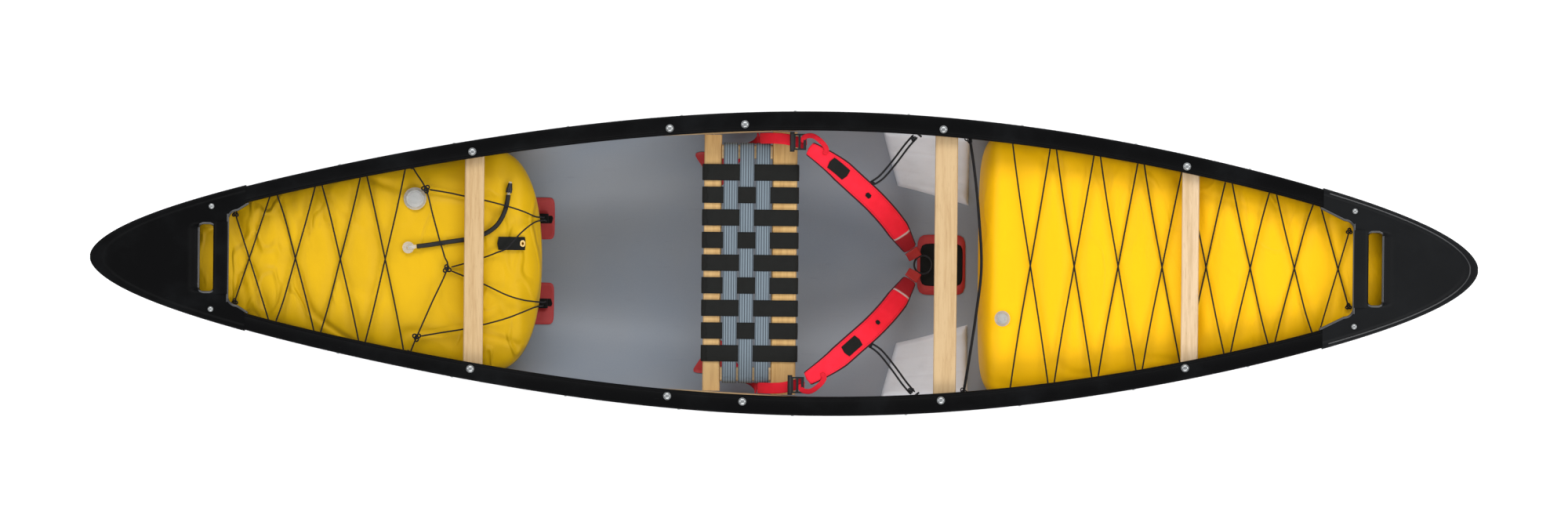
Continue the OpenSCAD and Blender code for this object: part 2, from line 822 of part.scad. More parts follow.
// Middle line of the padded strap, from the seat's side to the floor ring
thigh_route = concat(
    [[60, tail_y - 24, tail_z + 2], [78, tail_y - 35, tail_z + 8],
     [104, tail_y - 52, tail_z + 9]],
    fitted([[138, 243, 342], [180, 206, 312], [225, 166, 270], [262, 128, 215],
            [290, 94, 155]]),
    [[311, 63, 100], [326, 40, 62]]);
// Webbing from the pad's outer end, down beside the seat, to the anchor on the bilge
tail_width = 28;
tail_thick = 2.4;
function over_floor(x, y, lift) = [x, y, floor_z(x, y, liner_inset) + lift];
tail_route = concat(
    [[56, tail_y - 16, tail_z], [30, tail_y - 9, tail_z], [0, tail_y - 2, tail_z],
     [-30, tail_y, tail_z - 6], [-52, tail_y, tail_z - 24], [-66, tail_y, tail_z - 54],
     [-74, tail_y, tail_z - 89]],
    [over_floor(-82, tail_y - 5, 91), over_floor(-96, tail_y - 17, 60),
     over_floor(-114, tail_y - 36, 43), over_floor(-132, tail_y - 58, 31)]);

module thigh_pad(side) {
    last = len(thigh_route) - 1;
    rings = [for (i = [0 : last])
        let (share = min(1, 0.62 + 0.61 * sin(180 * i / last)))
        strip_rings(thigh_route, pad_width * share, pad_thick, [0, 0, 1])[i]];
    mirror([0, side > 0 ? 0 : 1, 0])
        color(red) loft(rings);
}

module port_thigh_pad() { thigh_pad(1); }
module starboard_thigh_pad() { thigh_pad(-1); }

module strap_tail(side) {
    mirror([0, side > 0 ? 0 : 1, 0])
        color(black_plastic) cross_strip(tail_route, tail_width, tail_thick);
}

module port_strap_tail() { strap_tail(1); }
module starboard_strap_tail() { strap_tail(-1); }

// Ladder buckle on top of the pad; it tips up about its pin to let the webbing slip
buckle_x = 18;
buckle_y = tail_y - 9;
buckle_z = tail_z + 7;
buckle_long = 36;
buckle_wide = 42;
buckle_thick = 4;
pin_d = 4;

module strap_buckle(side) {
    color(black_plastic)
        translate([buckle_x, side * buckle_y, buckle_z])
            difference() {
                union() {
                    translate([buckle_long / 2, 0, 0])
                        cube([buckle_long, buckle_wide, buckle_thick], center = true);
                    rotate([90, 0, 0])
                        cylinder(d = pin_d + 3.6, h = buckle_wide, center = true, $fn = 32);
                }
                for (k = [0.34, 0.70])
                    translate([buckle_long * k, 0, 0])
                        cube([7, buckle_wide - 9, 2 * buckle_thick], center = true);
                rotate([90, 0, 0])
                    cylinder(d = pin_d + 0.1, h = buckle_wide + 2, center = true, $fn = 32);
            }
}

module port_strap_buckle() { strap_buckle(1); }
module starboard_strap_buckle() { strap_buckle(-1); }

// Pin with its two lugs on a base plate sewn to the strap
module buckle_pin(side) {
    color(black_plastic)
        translate([buckle_x, side * buckle_y, buckle_z]) {
            rotate([90, 0, 0])
                cylinder(d = pin_d, h = buckle_wide + 9, center = true, $fn = 32);
            for (end = [-1, 1])
                translate([-4, end * (buckle_wide / 2 + 2.6) - 1.8, -5.4])
                    cube([8, 3.6, 8]);
            translate([-6, -buckle_wide / 2 - 4.4, -5.4])
                cube([12, buckle_wide + 8.8, 1.2]);
        }
}

module port_buckle_pin() { buckle_pin(1); }
module starboard_buckle_pin() { buckle_pin(-1); }

// ---- Anchors ------------------------------------------------------------------------

// Glue line between a patch and the hull
patch_lift = 2;

// Patch that follows the inside of the hull between two places
module hull_patch(x_from, x_to, y_from, y_to, thick) {
    steps = 4;
    under = liner_inset + patch_lift;
    rings = [for (i = [0 : steps])
        let (x = x_from + (x_to - x_from) * i / steps)
        concat(
            [for (j = [0 : steps])
                let (y = y_from + (y_to - y_from) * j / steps)
                [x, y, floor_z(x, y, under)]],
            [for (j = [steps : -1 : 0])
                let (y = y_from + (y_to - y_from) * j / steps)
                [x, y, floor_z(x, y, under) + thick]])];
    loft(rings, folded_cap(2 * steps + 2));
}

module side_anchor(side) {
    mirror([0, side > 0 ? 0 : 1, 0])
        color(red) hull_patch(-240, -100, tail_y - 120, tail_y - 34, patch_thick + 2);
}

module port_side_anchor() { side_anchor(1); }
module starboard_side_anchor() { side_anchor(-1); }

module centre_anchor_pad() {
    color(red) hull_patch(345, 470, -78, 78, patch_thick + 2);
}

ring_d = 52;
ring_wire = 5;
ring_x = 360;
ring_z = 30;

module centre_ring() {
    color(black_plastic)
        translate([ring_x, 0, ring_z])
            rotate([0, -14, 0])
                rotate_extrude($fn = 48)
                    translate([(ring_d - ring_wire) / 2, 0])
                        circle(d = ring_wire, $fn = 16);
}

// Short webbing runs that join the pads to the ring
module ring_keepers() {
    color(red)
        for (side = [-1, 1])
            strip(mirrored([[329, 36, 57], [334, 28, 48], [337, 22, 41]], side), 24, 6);
}

// Webbing loops that stand on the floor patches
patch_x = -627;
patch_y = 110;

module floor_anchor_patches() {
    color(red)
        for (side = [-1, 1])
            hull_patch(patch_x - 32, patch_x + 32, side * patch_y - 54, side * patch_y + 54,
                       patch_thick);
}

module floor_anchor_loops() {
    color(black_plastic)
        for (side = [-1, 1]) {
            base = floor_z(patch_x - 18, side * (patch_y + 13), liner_inset + patch_lift)
                + patch_thick + gap;
            translate([patch_x, side * patch_y, base])
                rotate([90, 0, 0])
                    linear_extrude(height = 25, center = true)
                        difference() {
                            translate([0, 6]) round_bar(32, 13, 6);
                            translate([0, 5.6]) round_bar(27, 8.6, 4.2);
                        }
        }
}

// ---- Bungees ------------------------------------------------------------------------

bungee_d = 5;
bungee_end = [334, 330, 332];
bungee_route = fitted([[250, 214, 272], [280, 262, 296], [312, 305, 320], bungee_end]);
hook_at = fitted([bungee_end + [3, 6, 4]])[0];

module bungee(side) {
    color(black_plastic)
        for (lane = [-5, 5])
            tube([for (p = mirrored(bungee_route, side)) p + [lane, lane * side * -0.6, 0]],
                 bungee_d);
}

module port_bungee() { bungee(1); }
module starboard_bungee() { bungee(-1); }

module bungee_hooks() {
    color(black_plastic)
        for (side = [-1, 1])
            translate([hook_at[0], side * hook_at[1], hook_at[2]])
                rotate([0, 0, side * 52])
                    rotate([90, 0, 90])
                        linear_extrude(height = 5, center = true)
                            round_bar(30, 8, 3);
}

// ---- Airbags ------------------------------------------------------------------------

bag_gap = 3;
bag_inset = liner_inset + bag_gap;
bag_drop = 68;
bag_shoulder = 64;
bag_girth = 7;
bag_crown = 5;

function bag_shoulder_angle(s, rise) = acos(pow(1 - rise, section_power(s) / 2)) / 90;

// One section of a bag: along the hull from shoulder to shoulder, then over the top
function bag_ring(x, pull, top_drop) =
    let (s = x / reach(bag_inset),
         low = keel_z(s, bag_inset),
         top = sheer_z(x) - top_drop,
         shoulder = top - min(bag_shoulder, (top - low) * 0.4),
         rise = (shoulder - low) / (sheer_z(x) - low),
         g_end = bag_shoulder_angle(s, rise),
         w = hull_point(s, g_end, bag_inset)[1],
         centre = [x - sign(s) * stem_sweep * pow(abs(s), 4) / 4, 0, (low + top) / 2 + 20],
         under = [for (j = [-bag_girth : bag_girth])
             hull_point(s, g_end * j / bag_girth, bag_inset)],
         over = [for (k = [1 : 2 * bag_crown - 1])
             let (a = 90 * k / bag_crown)
             [x, w * sign(cos(a)) * sqrt(abs(cos(a))),
              shoulder + (top - shoulder) * sqrt(sin(a))]])
    [for (p = concat(under, over)) centre + pull * (p - centre)];

// Share of the full section at a distance from a rounded end
function end_pull(distance, radius, power) =
    distance >= radius ? 1
        : pow(max(1 - pow(1 - distance / radius, power), 0.0004), 1 / power);

stern_bag_from = -(half_length - 190);
stern_bag_to = stern_thwart_x + 166;
bow_bag_from = centre_thwart_x + 88;
bow_bag_to = half_length - 175;

// Section places along a bag, closer together at its two ends
function bag_places(from_x, to_x, steps) = [for (i = [0 : steps])
    (from_x + to_x) / 2 - (to_x - from_x) / 2 * cos(180 * i / steps)];

module airbag(from_x, to_x, aft_round, fore_round) {
    color(yellow)
        loft([for (x = bag_places(from_x, to_x, 15))
            bag_ring(x, min(end_pull(x - from_x, aft_round, 2.4),
                            end_pull(to_x - x, fore_round, 2.4)), bag_drop)]);
}

module stern_airbag() { airbag(stern_bag_from, stern_bag_to, 120, 150); }
module bow_airbag() { airbag(bow_bag_from, bow_bag_to, 60, 120); }

// ---- Valves, hose and tab -----------------------------------------------------------

stern_valve_x = -945;
stern_valve_y = 156;
bow_valve_x = 560;
bow_valve_y = -136;

// Height of a bag's top at a place away from its rounded ends
function bag_top(x, y, from_x, to_x, aft_round, fore_round) =
    let (pull = min(end_pull(x - from_x, aft_round, 2.4), end_pull(to_x - x, fore_round, 2.4)),
         s = x / reach(bag_inset),
         low = keel_z(s, bag_inset),
         top = sheer_z(x) - bag_drop,
         shoulder = top - bag_shoulder,
         rise = (shoulder - low) / (sheer_z(x) - low),
         w = hull_point(s, bag_shoulder_angle(s, rise), bag_inset)[1],
         mid = (low + top) / 2 + 20,
         share = min(abs(y) / (w * pull), 1),
         local = shoulder + bag_shoulder * pow(1 - pow(share, 4), 0.25))
    mid + pull * (local - mid);

function stern_top(x, y) = bag_top(x, y, stern_bag_from, stern_bag_to, 120, 150);
function bow_top(x, y) = bag_top(x, y, bow_bag_from, bow_bag_to, 60, 120);

module valve_body(d, h) {
    difference() {
        union() {
            cylinder(d = d + 14, h = 1.2, $fn = 48);
            cylinder(d = d, h = h, $fn = 48);
        }
        translate([0, 0, 1.2])
            cylinder(d = d - 8, h = h, $fn = 48);
    }
}

// Cap with a domed top and a plug, turning on the body's own axis
module valve_cap(d, h) {
    translate([0, 0, h + 0.2])
        difference() {
            union() {
                cylinder(d = d + 2, h = 3, $fn = 48);
                translate([0, 0, 3])
                    cylinder(d1 = d + 2, d2 = d * 0.55, h = 3.5, $fn = 48);
            }
            for (a = [0 : 45 : 315])
                rotate([0, 0, a])
                    translate([d / 2 + 2.4, 0, -1])
                        cylinder(d = 4, h = 9, $fn = 16);
        }
    translate([0, 0, 2.4])
        cylinder(d = d - 8.2, h = h - 2.2, $fn = 48);
}

// Turn that lays a flat piece on the bag, from the heights fore, aft, port and starboard
function lean(fore, aft, port, starboard) =
    [atan((port - starboard) / 40), -atan((fore - aft) / 40), 0];

module on_stern_bag(x, y) {
    translate([x, y, stern_top(x, y) + gap])
        rotate(lean(stern_top(x + 20, y), stern_top(x - 20, y),
                    stern_top(x, y + 20), stern_top(x, y - 20)))
            children();
}

module on_stern_valve() {
    on_stern_bag(stern_valve_x, stern_valve_y) children();
}

module on_bow_valve() {
    x = bow_valve_x;
    y = bow_valve_y;
    translate([x, y, bow_top(x, y) + gap])
        rotate(lean(bow_top(x + 20, y), bow_top(x - 20, y),
                    bow_top(x, y + 20), bow_top(x, y - 20)))
            children();
}

module stern_valve_body() { color(clear) on_stern_valve() valve_body(stern_valve_d, 5); }
module stern_valve_cap() { color(clear) on_stern_valve() valve_cap(stern_valve_d, 5); }
module bow_valve_body() { color(clear) on_bow_valve() valve_body(bow_valve_d, 5); }
module bow_valve_cap() { color(clear) on_bow_valve() valve_cap(bow_valve_d, 5); }

// The hose leaves the flange, lies on the bag and passes under the stern thwart
hose_route = [[-939, 34, 0], [-915, 37, 0], [-890, 41, 0], [-865, 45, 0], [-840, 49, 0],
              [-815, 53, 0], [-790, 59, 0], [-768, 67, 0], [-749, 78, 0], [-734, 92, 0],
              [-723, 109, 0], [-715, 128, 0], [-710, 148, 0], [-707, 168, 0]];
function hose_lay(p) = stern_top(p[0], p[1]) + hose_d / 2 + 1.5;
hose_line = [for (p = hose_route) [p[0], p[1], hose_lay(p)]];

module inflation_hose() {
    color(black_plastic) tube(hose_line, hose_d, 12);
}

module hose_flange() {
    start = hose_line[0];
    way = heading(hose_line, 0);
    color(clear) {
        on_stern_bag(start[0] - 22, start[1] - 3)
            difference() {
                cylinder(d = 30, h = 2, $fn = 40);
                translate([0, 0, -1])
                    cylinder(d = 8, h = 4, $fn = 24);
            }
        translate(start - way * 24)
            rotate([0, 90, atan2(way[1], way[0])])
                cylinder(d = hose_d - 2, h = 23, $fn = 24);
    }
}

mouth_at = hose_line[len(hose_line) - 1];
mouth_way = heading(hose_line, len(hose_line) - 1);
mouth_turn = atan2(mouth_way[1], mouth_way[0]);

// Frame of the mouthpiece: +X along the hose, out of its end
module on_mouth() {
    translate(mouth_at)
        rotate([0, asin(-mouth_way[2]), mouth_turn])
            children();
}

module mouthpiece_stem() {
    color(clear)
        on_mouth()
            rotate([0, 90, 0])
                translate([0, 0, 0.2])
                    cylinder(d = 8, h = 34, $fn = 32);
}

module hose_mouthpiece() {
    color(black_plastic)
        on_mouth()
            rotate([0, 90, 0])
                translate([0, 0, 6])
                    difference() {
                        union() {
                            cylinder(d = 16, h = 12, $fn = 36);
                            translate([0, 0, 12])
                                cylinder(d1 = 14, d2 = 11, h = 12, $fn = 36);
                        }
                        translate([0, 0, -1])
                            cylinder(d = 8.1, h = 30, $fn = 32);
                        for (a = [0 : 60 : 300])
                            rotate([0, 0, a])
                                translate([9.2, 0, -1])
                                    cylinder(d = 4, h = 14, $fn = 16);
                    }
}

tab_from = -734;
tab_to = -662;

tab_y = 44;
tab_thick = 2.4;
tab_steps = 4;
tab_route = [for (i = [0 : tab_steps])
    let (x = tab_from + (tab_to - tab_from) * i / tab_steps) [x, tab_y, stern_top(x, tab_y) + 4]];
grommet_at = (tab_route[tab_steps - 1] + tab_route[tab_steps]) / 2;

// Frame of the eyelet: +Z square to the tab's face
module on_grommet() {
    way = tab_route[tab_steps] - tab_route[tab_steps - 1];
    translate(grommet_at)
        rotate([0, -atan(way[2] / way[0]), 0])
            children();
}

module grommet_tab() {
    color(black_plastic)
        difference() {
            strip(tab_route, 34, tab_thick);
            on_grommet() cylinder(d = 11, h = 20, center = true, $fn = 24);
        }
}

// Brass eyelet in the end of the tab
module tab_grommet() {
    color(brass)
        on_grommet()
            difference() {
                union() {
                    cylinder(d = 10.4, h = tab_thick + 1.4, center = true, $fn = 24);
                    for (end = [-1, 1])
                        translate([0, 0, end * (tab_thick / 2 + 0.7)])
                            cylinder(d = 17, h = 0.6, center = true, $fn = 32);
                }
                cylinder(d = 8, h = 20, center = true, $fn = 24);
            }
}

// ---- Lacing -------------------------------------------------------------------------

// Route of one lace: from side to side, out through one hole and back through the next
function lace_side_points(x, side, dir, lift) =
    let (z = lace_z(x), a = x - dir * hole_pair / 2, b = x + dir * hole_pair / 2, out = cord_d)
    [[a, side * (half_width(a, liner_inset) - 12), z + lift],
     [a, side * (half_width(a, hull_inset) + out), z],
     [b, side * (half_width(b, hull_inset) + out), z],
     [b, side * (half_width(b, liner_inset) - 12), z + lift]];

function lace_route(start, pitch, count, first_side, lift) = [for (i = [0 : count - 1])
    for (p = lace_side_points(lace_x(start, pitch, i), i % 2 == 0 ? first_side : -first_side,
                              sign(pitch), lift)) p];

lace_lift = cord_d * 0.6;

// The two passes cross one above the other and end in the deck's corners
module lacing(start, pitch, count, end_x, end_y) {
    color(black_plastic)
        for (side = [-1, 1]) {
            lift = side * lace_lift;
            last_side = (count - 1) % 2 == 0 ? side : -side;
            tube(concat(lace_route(start, pitch, count, side, lift),
                        [[end_x, -last_side * end_y, lace_z(end_x) + lift]]), cord_d);
        }
}

module bow_lacing() {
    lacing(bow_lace_start, bow_lace_pitch, bow_lace_count, deck_start + 69, 96);
}

module stern_lacing() {
    lacing(stern_lace_start, stern_lace_pitch, stern_lace_count, -deck_start - 29, 112);
}

// Place above the stern bag: share of its half width, and lift above its top
function on_bag(x, share, lift) =
    let (y = share * half_width(x, bag_inset)) [x, y, stern_top(x, y) + lift];

// Place beyond the bag's inboard end: share of its half depth
function past_bag(out, y, share) = [stern_bag_to + out, y, share * centre_depth];

// Cord across the inboard end of the stern bag, tied to the last holes of its lacing
restraint_bar = [
    on_bag(-955, 0.957, 38), on_bag(-945, 0.876, 23), on_bag(-917, 0.688, 16),
    on_bag(-900, 0.451, 16.5), on_bag(-890, 0.317, 23), on_bag(-880, 0.185, 25),
    on_bag(-868, 0.037, 20), on_bag(-861, -0.084, 15), on_bag(-900, -0.42, 11),
    on_bag(-937, -0.763, 15), on_bag(-950, -0.895, 24), on_bag(-955, -0.957, 39)
];
// Cords from its three knots, under the thwart and round the bag's end to the floor patches
restraint_legs = [
    [on_bag(-911, 0.681, 11), on_bag(-860, 0.629, 11), on_bag(-815, 0.579, 11.5),
     on_bag(-765, 0.528, 10.5), on_bag(-709, 0.465, 21), on_bag(-668, 0.413, 34),
     past_bag(-16, 114, 0.79), past_bag(-2, 112, 0.63), past_bag(2, 112, 0.39),
     over_floor(stern_bag_to + 2, 113, 28)],
    [on_bag(-853, -0.069, 8.5), on_bag(-815, -0.028, 9.5), on_bag(-765, 0.028, 9.1),
     on_bag(-735, 0.068, 12.4), on_bag(-709, 0.107, 18), on_bag(-673, 0.236, 27),
     past_bag(-17, 98, 0.79), past_bag(4, 104, 0.63), past_bag(8, 104, 0.39),
     over_floor(stern_bag_to + 8, 103, 28)],
    [on_bag(-853, -0.098, 8.5), on_bag(-815, -0.149, 9.5), on_bag(-765, -0.214, 9.1),
     on_bag(-709, -0.294, 20), on_bag(-668, -0.328, 34), past_bag(-17, -104, 0.79),
     past_bag(2, -106, 0.63), past_bag(8, -106, 0.39), over_floor(stern_bag_to + 8, -105, 28)],
    [on_bag(-930, -0.752, 12), on_bag(-875, -0.687, 11), on_bag(-815, -0.625, 12.4),
     on_bag(-765, -0.566, 11), on_bag(-709, -0.495, 21), on_bag(-668, -0.432, 34.5),
     past_bag(-16, -120, 0.79), past_bag(-2, -116, 0.63), past_bag(2, -116, 0.39),
     over_floor(stern_bag_to + 2, -115, 28)]
];

module stern_restraint_cord() {
    color(black_plastic) {
        tube(restraint_bar, cord_d);
        for (leg = restraint_legs)
            tube(leg, cord_d);
    }
}

function under_rim(x, share, drop) = [x, share * half_width(x, liner_inset), sheer_z(x) - drop];
bow_restraint = [
    under_rim(470, 0.95, 44), under_rim(485, 0.686, 49), under_rim(498, 0.344, 59),
    under_rim(505, -0.023, 61.5), under_rim(492, -0.372, 59), under_rim(476, -0.684, 50.5),
    under_rim(461, -0.948, 44)
];

module bow_restraint_cord() {
    color(black_plastic) tube(bow_restraint, cord_d);
}

boat_hull();
port_gunwale();
starboard_gunwale();
bow_deck();
stern_deck();
deck_screws();
gunwale_rivets();
stern_thwart();
centre_thwart();
bow_thwart();
thwart_bolts();
thwart_nuts();
port_seat_truss();
starboard_seat_truss();
seat_bolts();
seat_nuts();
seat_rear_rail();
seat_front_rail();
port_seat_crossbar();
starboard_seat_crossbar();
seat_rail_screws();
seat_fore_aft_straps();
seat_athwart_straps();
port_knee_pad();
starboard_knee_pad();
port_thigh_pad();
starboard_thigh_pad();
port_strap_tail();
starboard_strap_tail();
port_strap_buckle();
starboard_strap_buckle();
port_buckle_pin();
starboard_buckle_pin();
port_side_anchor();
starboard_side_anchor();
centre_anchor_pad();
centre_ring();
ring_keepers();
port_bungee();
starboard_bungee();
bungee_hooks();
stern_airbag();
bow_airbag();
stern_valve_body();
stern_valve_cap();
bow_valve_body();
bow_valve_cap();
inflation_hose();
hose_flange();
hose_mouthpiece();
mouthpiece_stem();
grommet_tab();
tab_grommet();
stern_lacing();
bow_lacing();
stern_restraint_cord();
bow_restraint_cord();
floor_anchor_patches();
floor_anchor_loops();
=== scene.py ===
import json
import logging
from collections.abc import Callable, Sequence
from dataclasses import dataclass
from enum import Enum
from math import acos, atan, atan2, copysign, cos, exp, pi, radians, sin, sqrt

import bpy
from mathutils import Matrix, Vector, noise


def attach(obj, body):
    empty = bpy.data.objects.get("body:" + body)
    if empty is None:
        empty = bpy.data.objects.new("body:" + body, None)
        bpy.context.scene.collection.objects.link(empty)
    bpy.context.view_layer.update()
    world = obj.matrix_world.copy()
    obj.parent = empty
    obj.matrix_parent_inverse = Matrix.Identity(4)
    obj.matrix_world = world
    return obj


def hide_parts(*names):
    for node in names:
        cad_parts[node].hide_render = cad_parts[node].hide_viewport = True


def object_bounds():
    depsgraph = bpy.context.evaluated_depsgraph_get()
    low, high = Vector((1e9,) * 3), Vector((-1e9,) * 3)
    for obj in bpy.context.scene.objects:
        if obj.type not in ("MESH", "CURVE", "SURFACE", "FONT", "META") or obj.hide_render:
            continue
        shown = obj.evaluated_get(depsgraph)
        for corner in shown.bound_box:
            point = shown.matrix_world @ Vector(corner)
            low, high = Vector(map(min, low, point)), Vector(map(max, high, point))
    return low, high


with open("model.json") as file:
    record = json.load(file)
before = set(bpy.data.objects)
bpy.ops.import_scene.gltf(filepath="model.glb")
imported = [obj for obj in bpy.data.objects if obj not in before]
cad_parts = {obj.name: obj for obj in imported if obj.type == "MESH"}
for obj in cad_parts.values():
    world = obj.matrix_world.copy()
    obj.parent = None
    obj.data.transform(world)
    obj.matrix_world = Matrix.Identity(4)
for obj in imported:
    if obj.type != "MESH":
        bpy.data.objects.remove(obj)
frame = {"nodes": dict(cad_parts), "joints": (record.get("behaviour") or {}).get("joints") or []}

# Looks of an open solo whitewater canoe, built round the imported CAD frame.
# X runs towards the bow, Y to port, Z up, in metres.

LOG = logging.getLogger("canoe")
CAD_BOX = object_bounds()
TAU = 2 * pi
Colour = tuple[float, float, float]
Point = Vector | tuple[float, float, float]
Piece = bpy.types.Object
Material = bpy.types.Material
Outline = list[tuple[float, float]]
Section = Callable[[float, float], tuple[float, float]]
UP = Vector((0, 0, 1))
SIDES = ((1, "port"), (-1, "starboard"))


# ---- Shape of the boat ------------------------------------------------------------------


def smooth_step(low: float, high: float, value: float) -> float:
    """Eased share of the way from low to high.

    Args:
        low: value at which the share is 0.
        high: value at which the share is 1.
        value: where to read it.

    Returns:
        A number from 0 to 1.
    """
    t = min(max((value - low) / (high - low), 0.0), 1.0)
    return t * t * (3 - 2 * t)


@dataclass(frozen=True)
class HullForm:
    """Lines of the hull and its rim, which every other piece is fitted to."""

    length: float = CAD_BOX[1].x - CAD_BOX[0].x
    beam: float = 0.778
    centre_depth: float = 0.380
    sheer_rise: float = 0.150
    end_rocker: float = 0.095
    hull_wall: float = 0.006
    stem_sweep: float = 0.230
    flare: float = 0.06
    keel_flat: float = 0.0025
    gap: float = 0.0004
    deck_wall: float = 0.003
    gunwale_width: float = 0.046
    outwale: float = 0.0136
    end_half_width: float = 0.004

    @property
    def half_length(self) -> float:
        """Half the overall length."""
        return self.length / 2

    @property
    def half_beam(self) -> float:
        """Half the outermost beam."""
        return self.beam / 2 + self.deck_wall + self.gap

    @property
    def gunwale_inset(self) -> float:
        """Inset of the gunwale's outer face."""
        return self.deck_wall + self.gap

    @property
    def hull_inset(self) -> float:
        """Inset of the hull's outer face."""
        return self.gunwale_inset + self.outwale + self.gap

    @property
    def liner_inset(self) -> float:
        """Inset of the hull's inner face."""
        return self.hull_inset + self.hull_wall

    @property
    def inwale_inset(self) -> float:
        """Inset of the gunwale's inner face."""
        return self.gunwale_inset + self.gunwale_width

    @property
    def bolt_inset(self) -> float:
        """Inset of the line of bolts along the gunwale."""
        return self.gunwale_inset + 0.031

    @property
    def bag_inset(self) -> float:
        """Inset of the airbags' sides."""
        return self.liner_inset + 0.003

    def reach(self, inset: float) -> float:
        """Distance from midships to the stem at an inset."""
        return self.half_length - 2 * inset

    def fullness(self, s: float) -> float:
        """Share of the greatest half width at the station s, from -1 to 1."""
        w = min(abs(s - 0.05 * (1 - s * s)), 1.0)
        return max(cos(pi / 2 * w), 0.0) ** (0.76 - 0.17 * w * w)

    def half_width(self, x: float, inset: float) -> float:
        """Half width at the rim at a place along the boat."""
        s = min(max(x / self.reach(inset), -1.0), 1.0)
        return self.end_half_width + (self.half_beam - inset - self.end_half_width) * self.fullness(s)

    def sheer(self, x: float) -> float:
        """Height of the hull rim."""
        return self.centre_depth + self.sheer_rise * (abs(x) / self.half_length) ** 2.2

    def sheer_slope(self, x: float) -> float:
        """Rise of the rim along the boat, as an angle."""
        rate = self.sheer_rise * 2.2 / self.half_length * (abs(x) / self.half_length) ** 1.2
        return atan(copysign(rate, x))

    def keel(self, s: float, inset: float) -> float:
        """Height of the keel line at an inset."""
        return self.end_rocker * abs(s) ** 2.5 - self.keel_flat + inset - self.hull_inset

    def surface(self, s: float, g: float, inset: float) -> Vector:
        """Point on an inset of the hull surface.

        Args:
            s: station, from -1 at the stern to 1 at the bow.
            g: girth, from -1 at the starboard rim to 1 at the port rim.
            inset: inset from the outermost outline.

        Returns:
            The point in the boat's frame.
        """
        phi = pi / 2 * min(abs(g), 1.0)
        power = 3.0 - 1.2 * s * s
        rise = 1 - max(cos(phi), 0.0) ** (2 / power)
        rim_x = s * self.reach(inset)
        low = self.keel(s, inset)
        width = self.end_half_width + (self.half_beam - inset - self.end_half_width) * self.fullness(s)
        taper = 1 - self.flare * (1 - rise) ** 2
        x = rim_x - copysign(self.stem_sweep, s) * s ** 4 * (1 - rise) ** 2
        y = copysign(width * sin(phi) ** (2 / power) * taper, g)
        return Vector((x, y, low + (self.sheer(rim_x) - low) * rise))

    def floor(self, x: float, y: float, inset: float) -> float:
        """Height of an inset of the hull surface at a place inside the boat.

        Args:
            x: place along the boat.
            y: place across the boat.
            inset: inset of the surface.

        Returns:
            The height.
        """
        s = x / self.reach(inset)
        width = self.end_half_width + (self.half_beam - inset - self.end_half_width) * self.fullness(s)
        power = 3.0 - 1.2 * s * s
        low = self.keel(s, inset)
        first = self._rise_at(abs(y) / width / (1 - self.flare), power)
        taper = 1 - self.flare * (1 - first) ** 2
        return low + (self.sheer(x) - low) * self._rise_at(abs(y) / width / taper, power)

    @staticmethod
    def _rise_at(share: float, power: float) -> float:
        """Height share where the section has a share of its half width."""
        return 1 - (1 - min(share, 0.999) ** power) ** (1 / power)

    def inset_at(self, x: float, y: float) -> float:
        """How far inside the outermost outline a place is.

        Args:
            x: place along the boat.
            y: place across the boat.

        Returns:
            The inset, from 0 on the outline.
        """
        low, high = 0.0, 0.3
        for _ in range(14):
            mid = (low + high) / 2
            if abs(x) < self.reach(mid) and self.half_width(x, mid) > abs(y):
                low = mid
            else:
                high = mid
        return low

    def on_rim(self, x: float, y: float) -> Matrix:
        """Frame on the rim, turned with the slope of the sheer line."""
        return Matrix.Translation((x, y, self.sheer(x))) @ Matrix.Rotation(-self.sheer_slope(x), 4, "Y")


FORM = HullForm()


# ---- Shader graphs ----------------------------------------------------------------------


class Value:
    """A value socket that takes part in Python arithmetic by adding Math nodes."""

    def __init__(self, graph: "Graph", socket: bpy.types.NodeSocket) -> None:
        """Wraps a socket of a graph."""
        self.graph = graph
        self.socket = socket

    def _with(self, operation: str, first: "Value | float", second: "Value | float" = 0.0) -> "Value":
        """Adds one Math node."""
        return self.graph.add("ShaderNodeMath", {"operation": operation}, {0: first, 1: second})

    def __add__(self, other: "Value | float") -> "Value":
        """Sum."""
        return self._with("ADD", self, other)

    def __sub__(self, other: "Value | float") -> "Value":
        """Difference."""
        return self._with("SUBTRACT", self, other)

    def __mul__(self, other: "Value | float") -> "Value":
        """Product."""
        return self._with("MULTIPLY", self, other)

    def __gt__(self, other: "Value | float") -> "Value":
        """1 where this is the greater."""
        return self._with("GREATER_THAN", self, other)

    def __rsub__(self, other: float) -> "Value":
        """A number less this."""
        return self._with("SUBTRACT", other, self)

    __radd__ = __add__
    __rmul__ = __mul__

    def __abs__(self) -> "Value":
        """Size without its sign."""
        return self._with("ABSOLUTE", self)

    def sin(self) -> "Value":
        """Sine of an angle in radians."""
        return self._with("SINE", self)

    def ease(self, low: float, high: float) -> "Value":
        """Smooth 0 to 1 between two limits."""
        return self.graph.add("ShaderNodeMapRange", {"interpolation_type": "SMOOTHSTEP"},
                              {"Value": self, "From Min": low, "From Max": high})


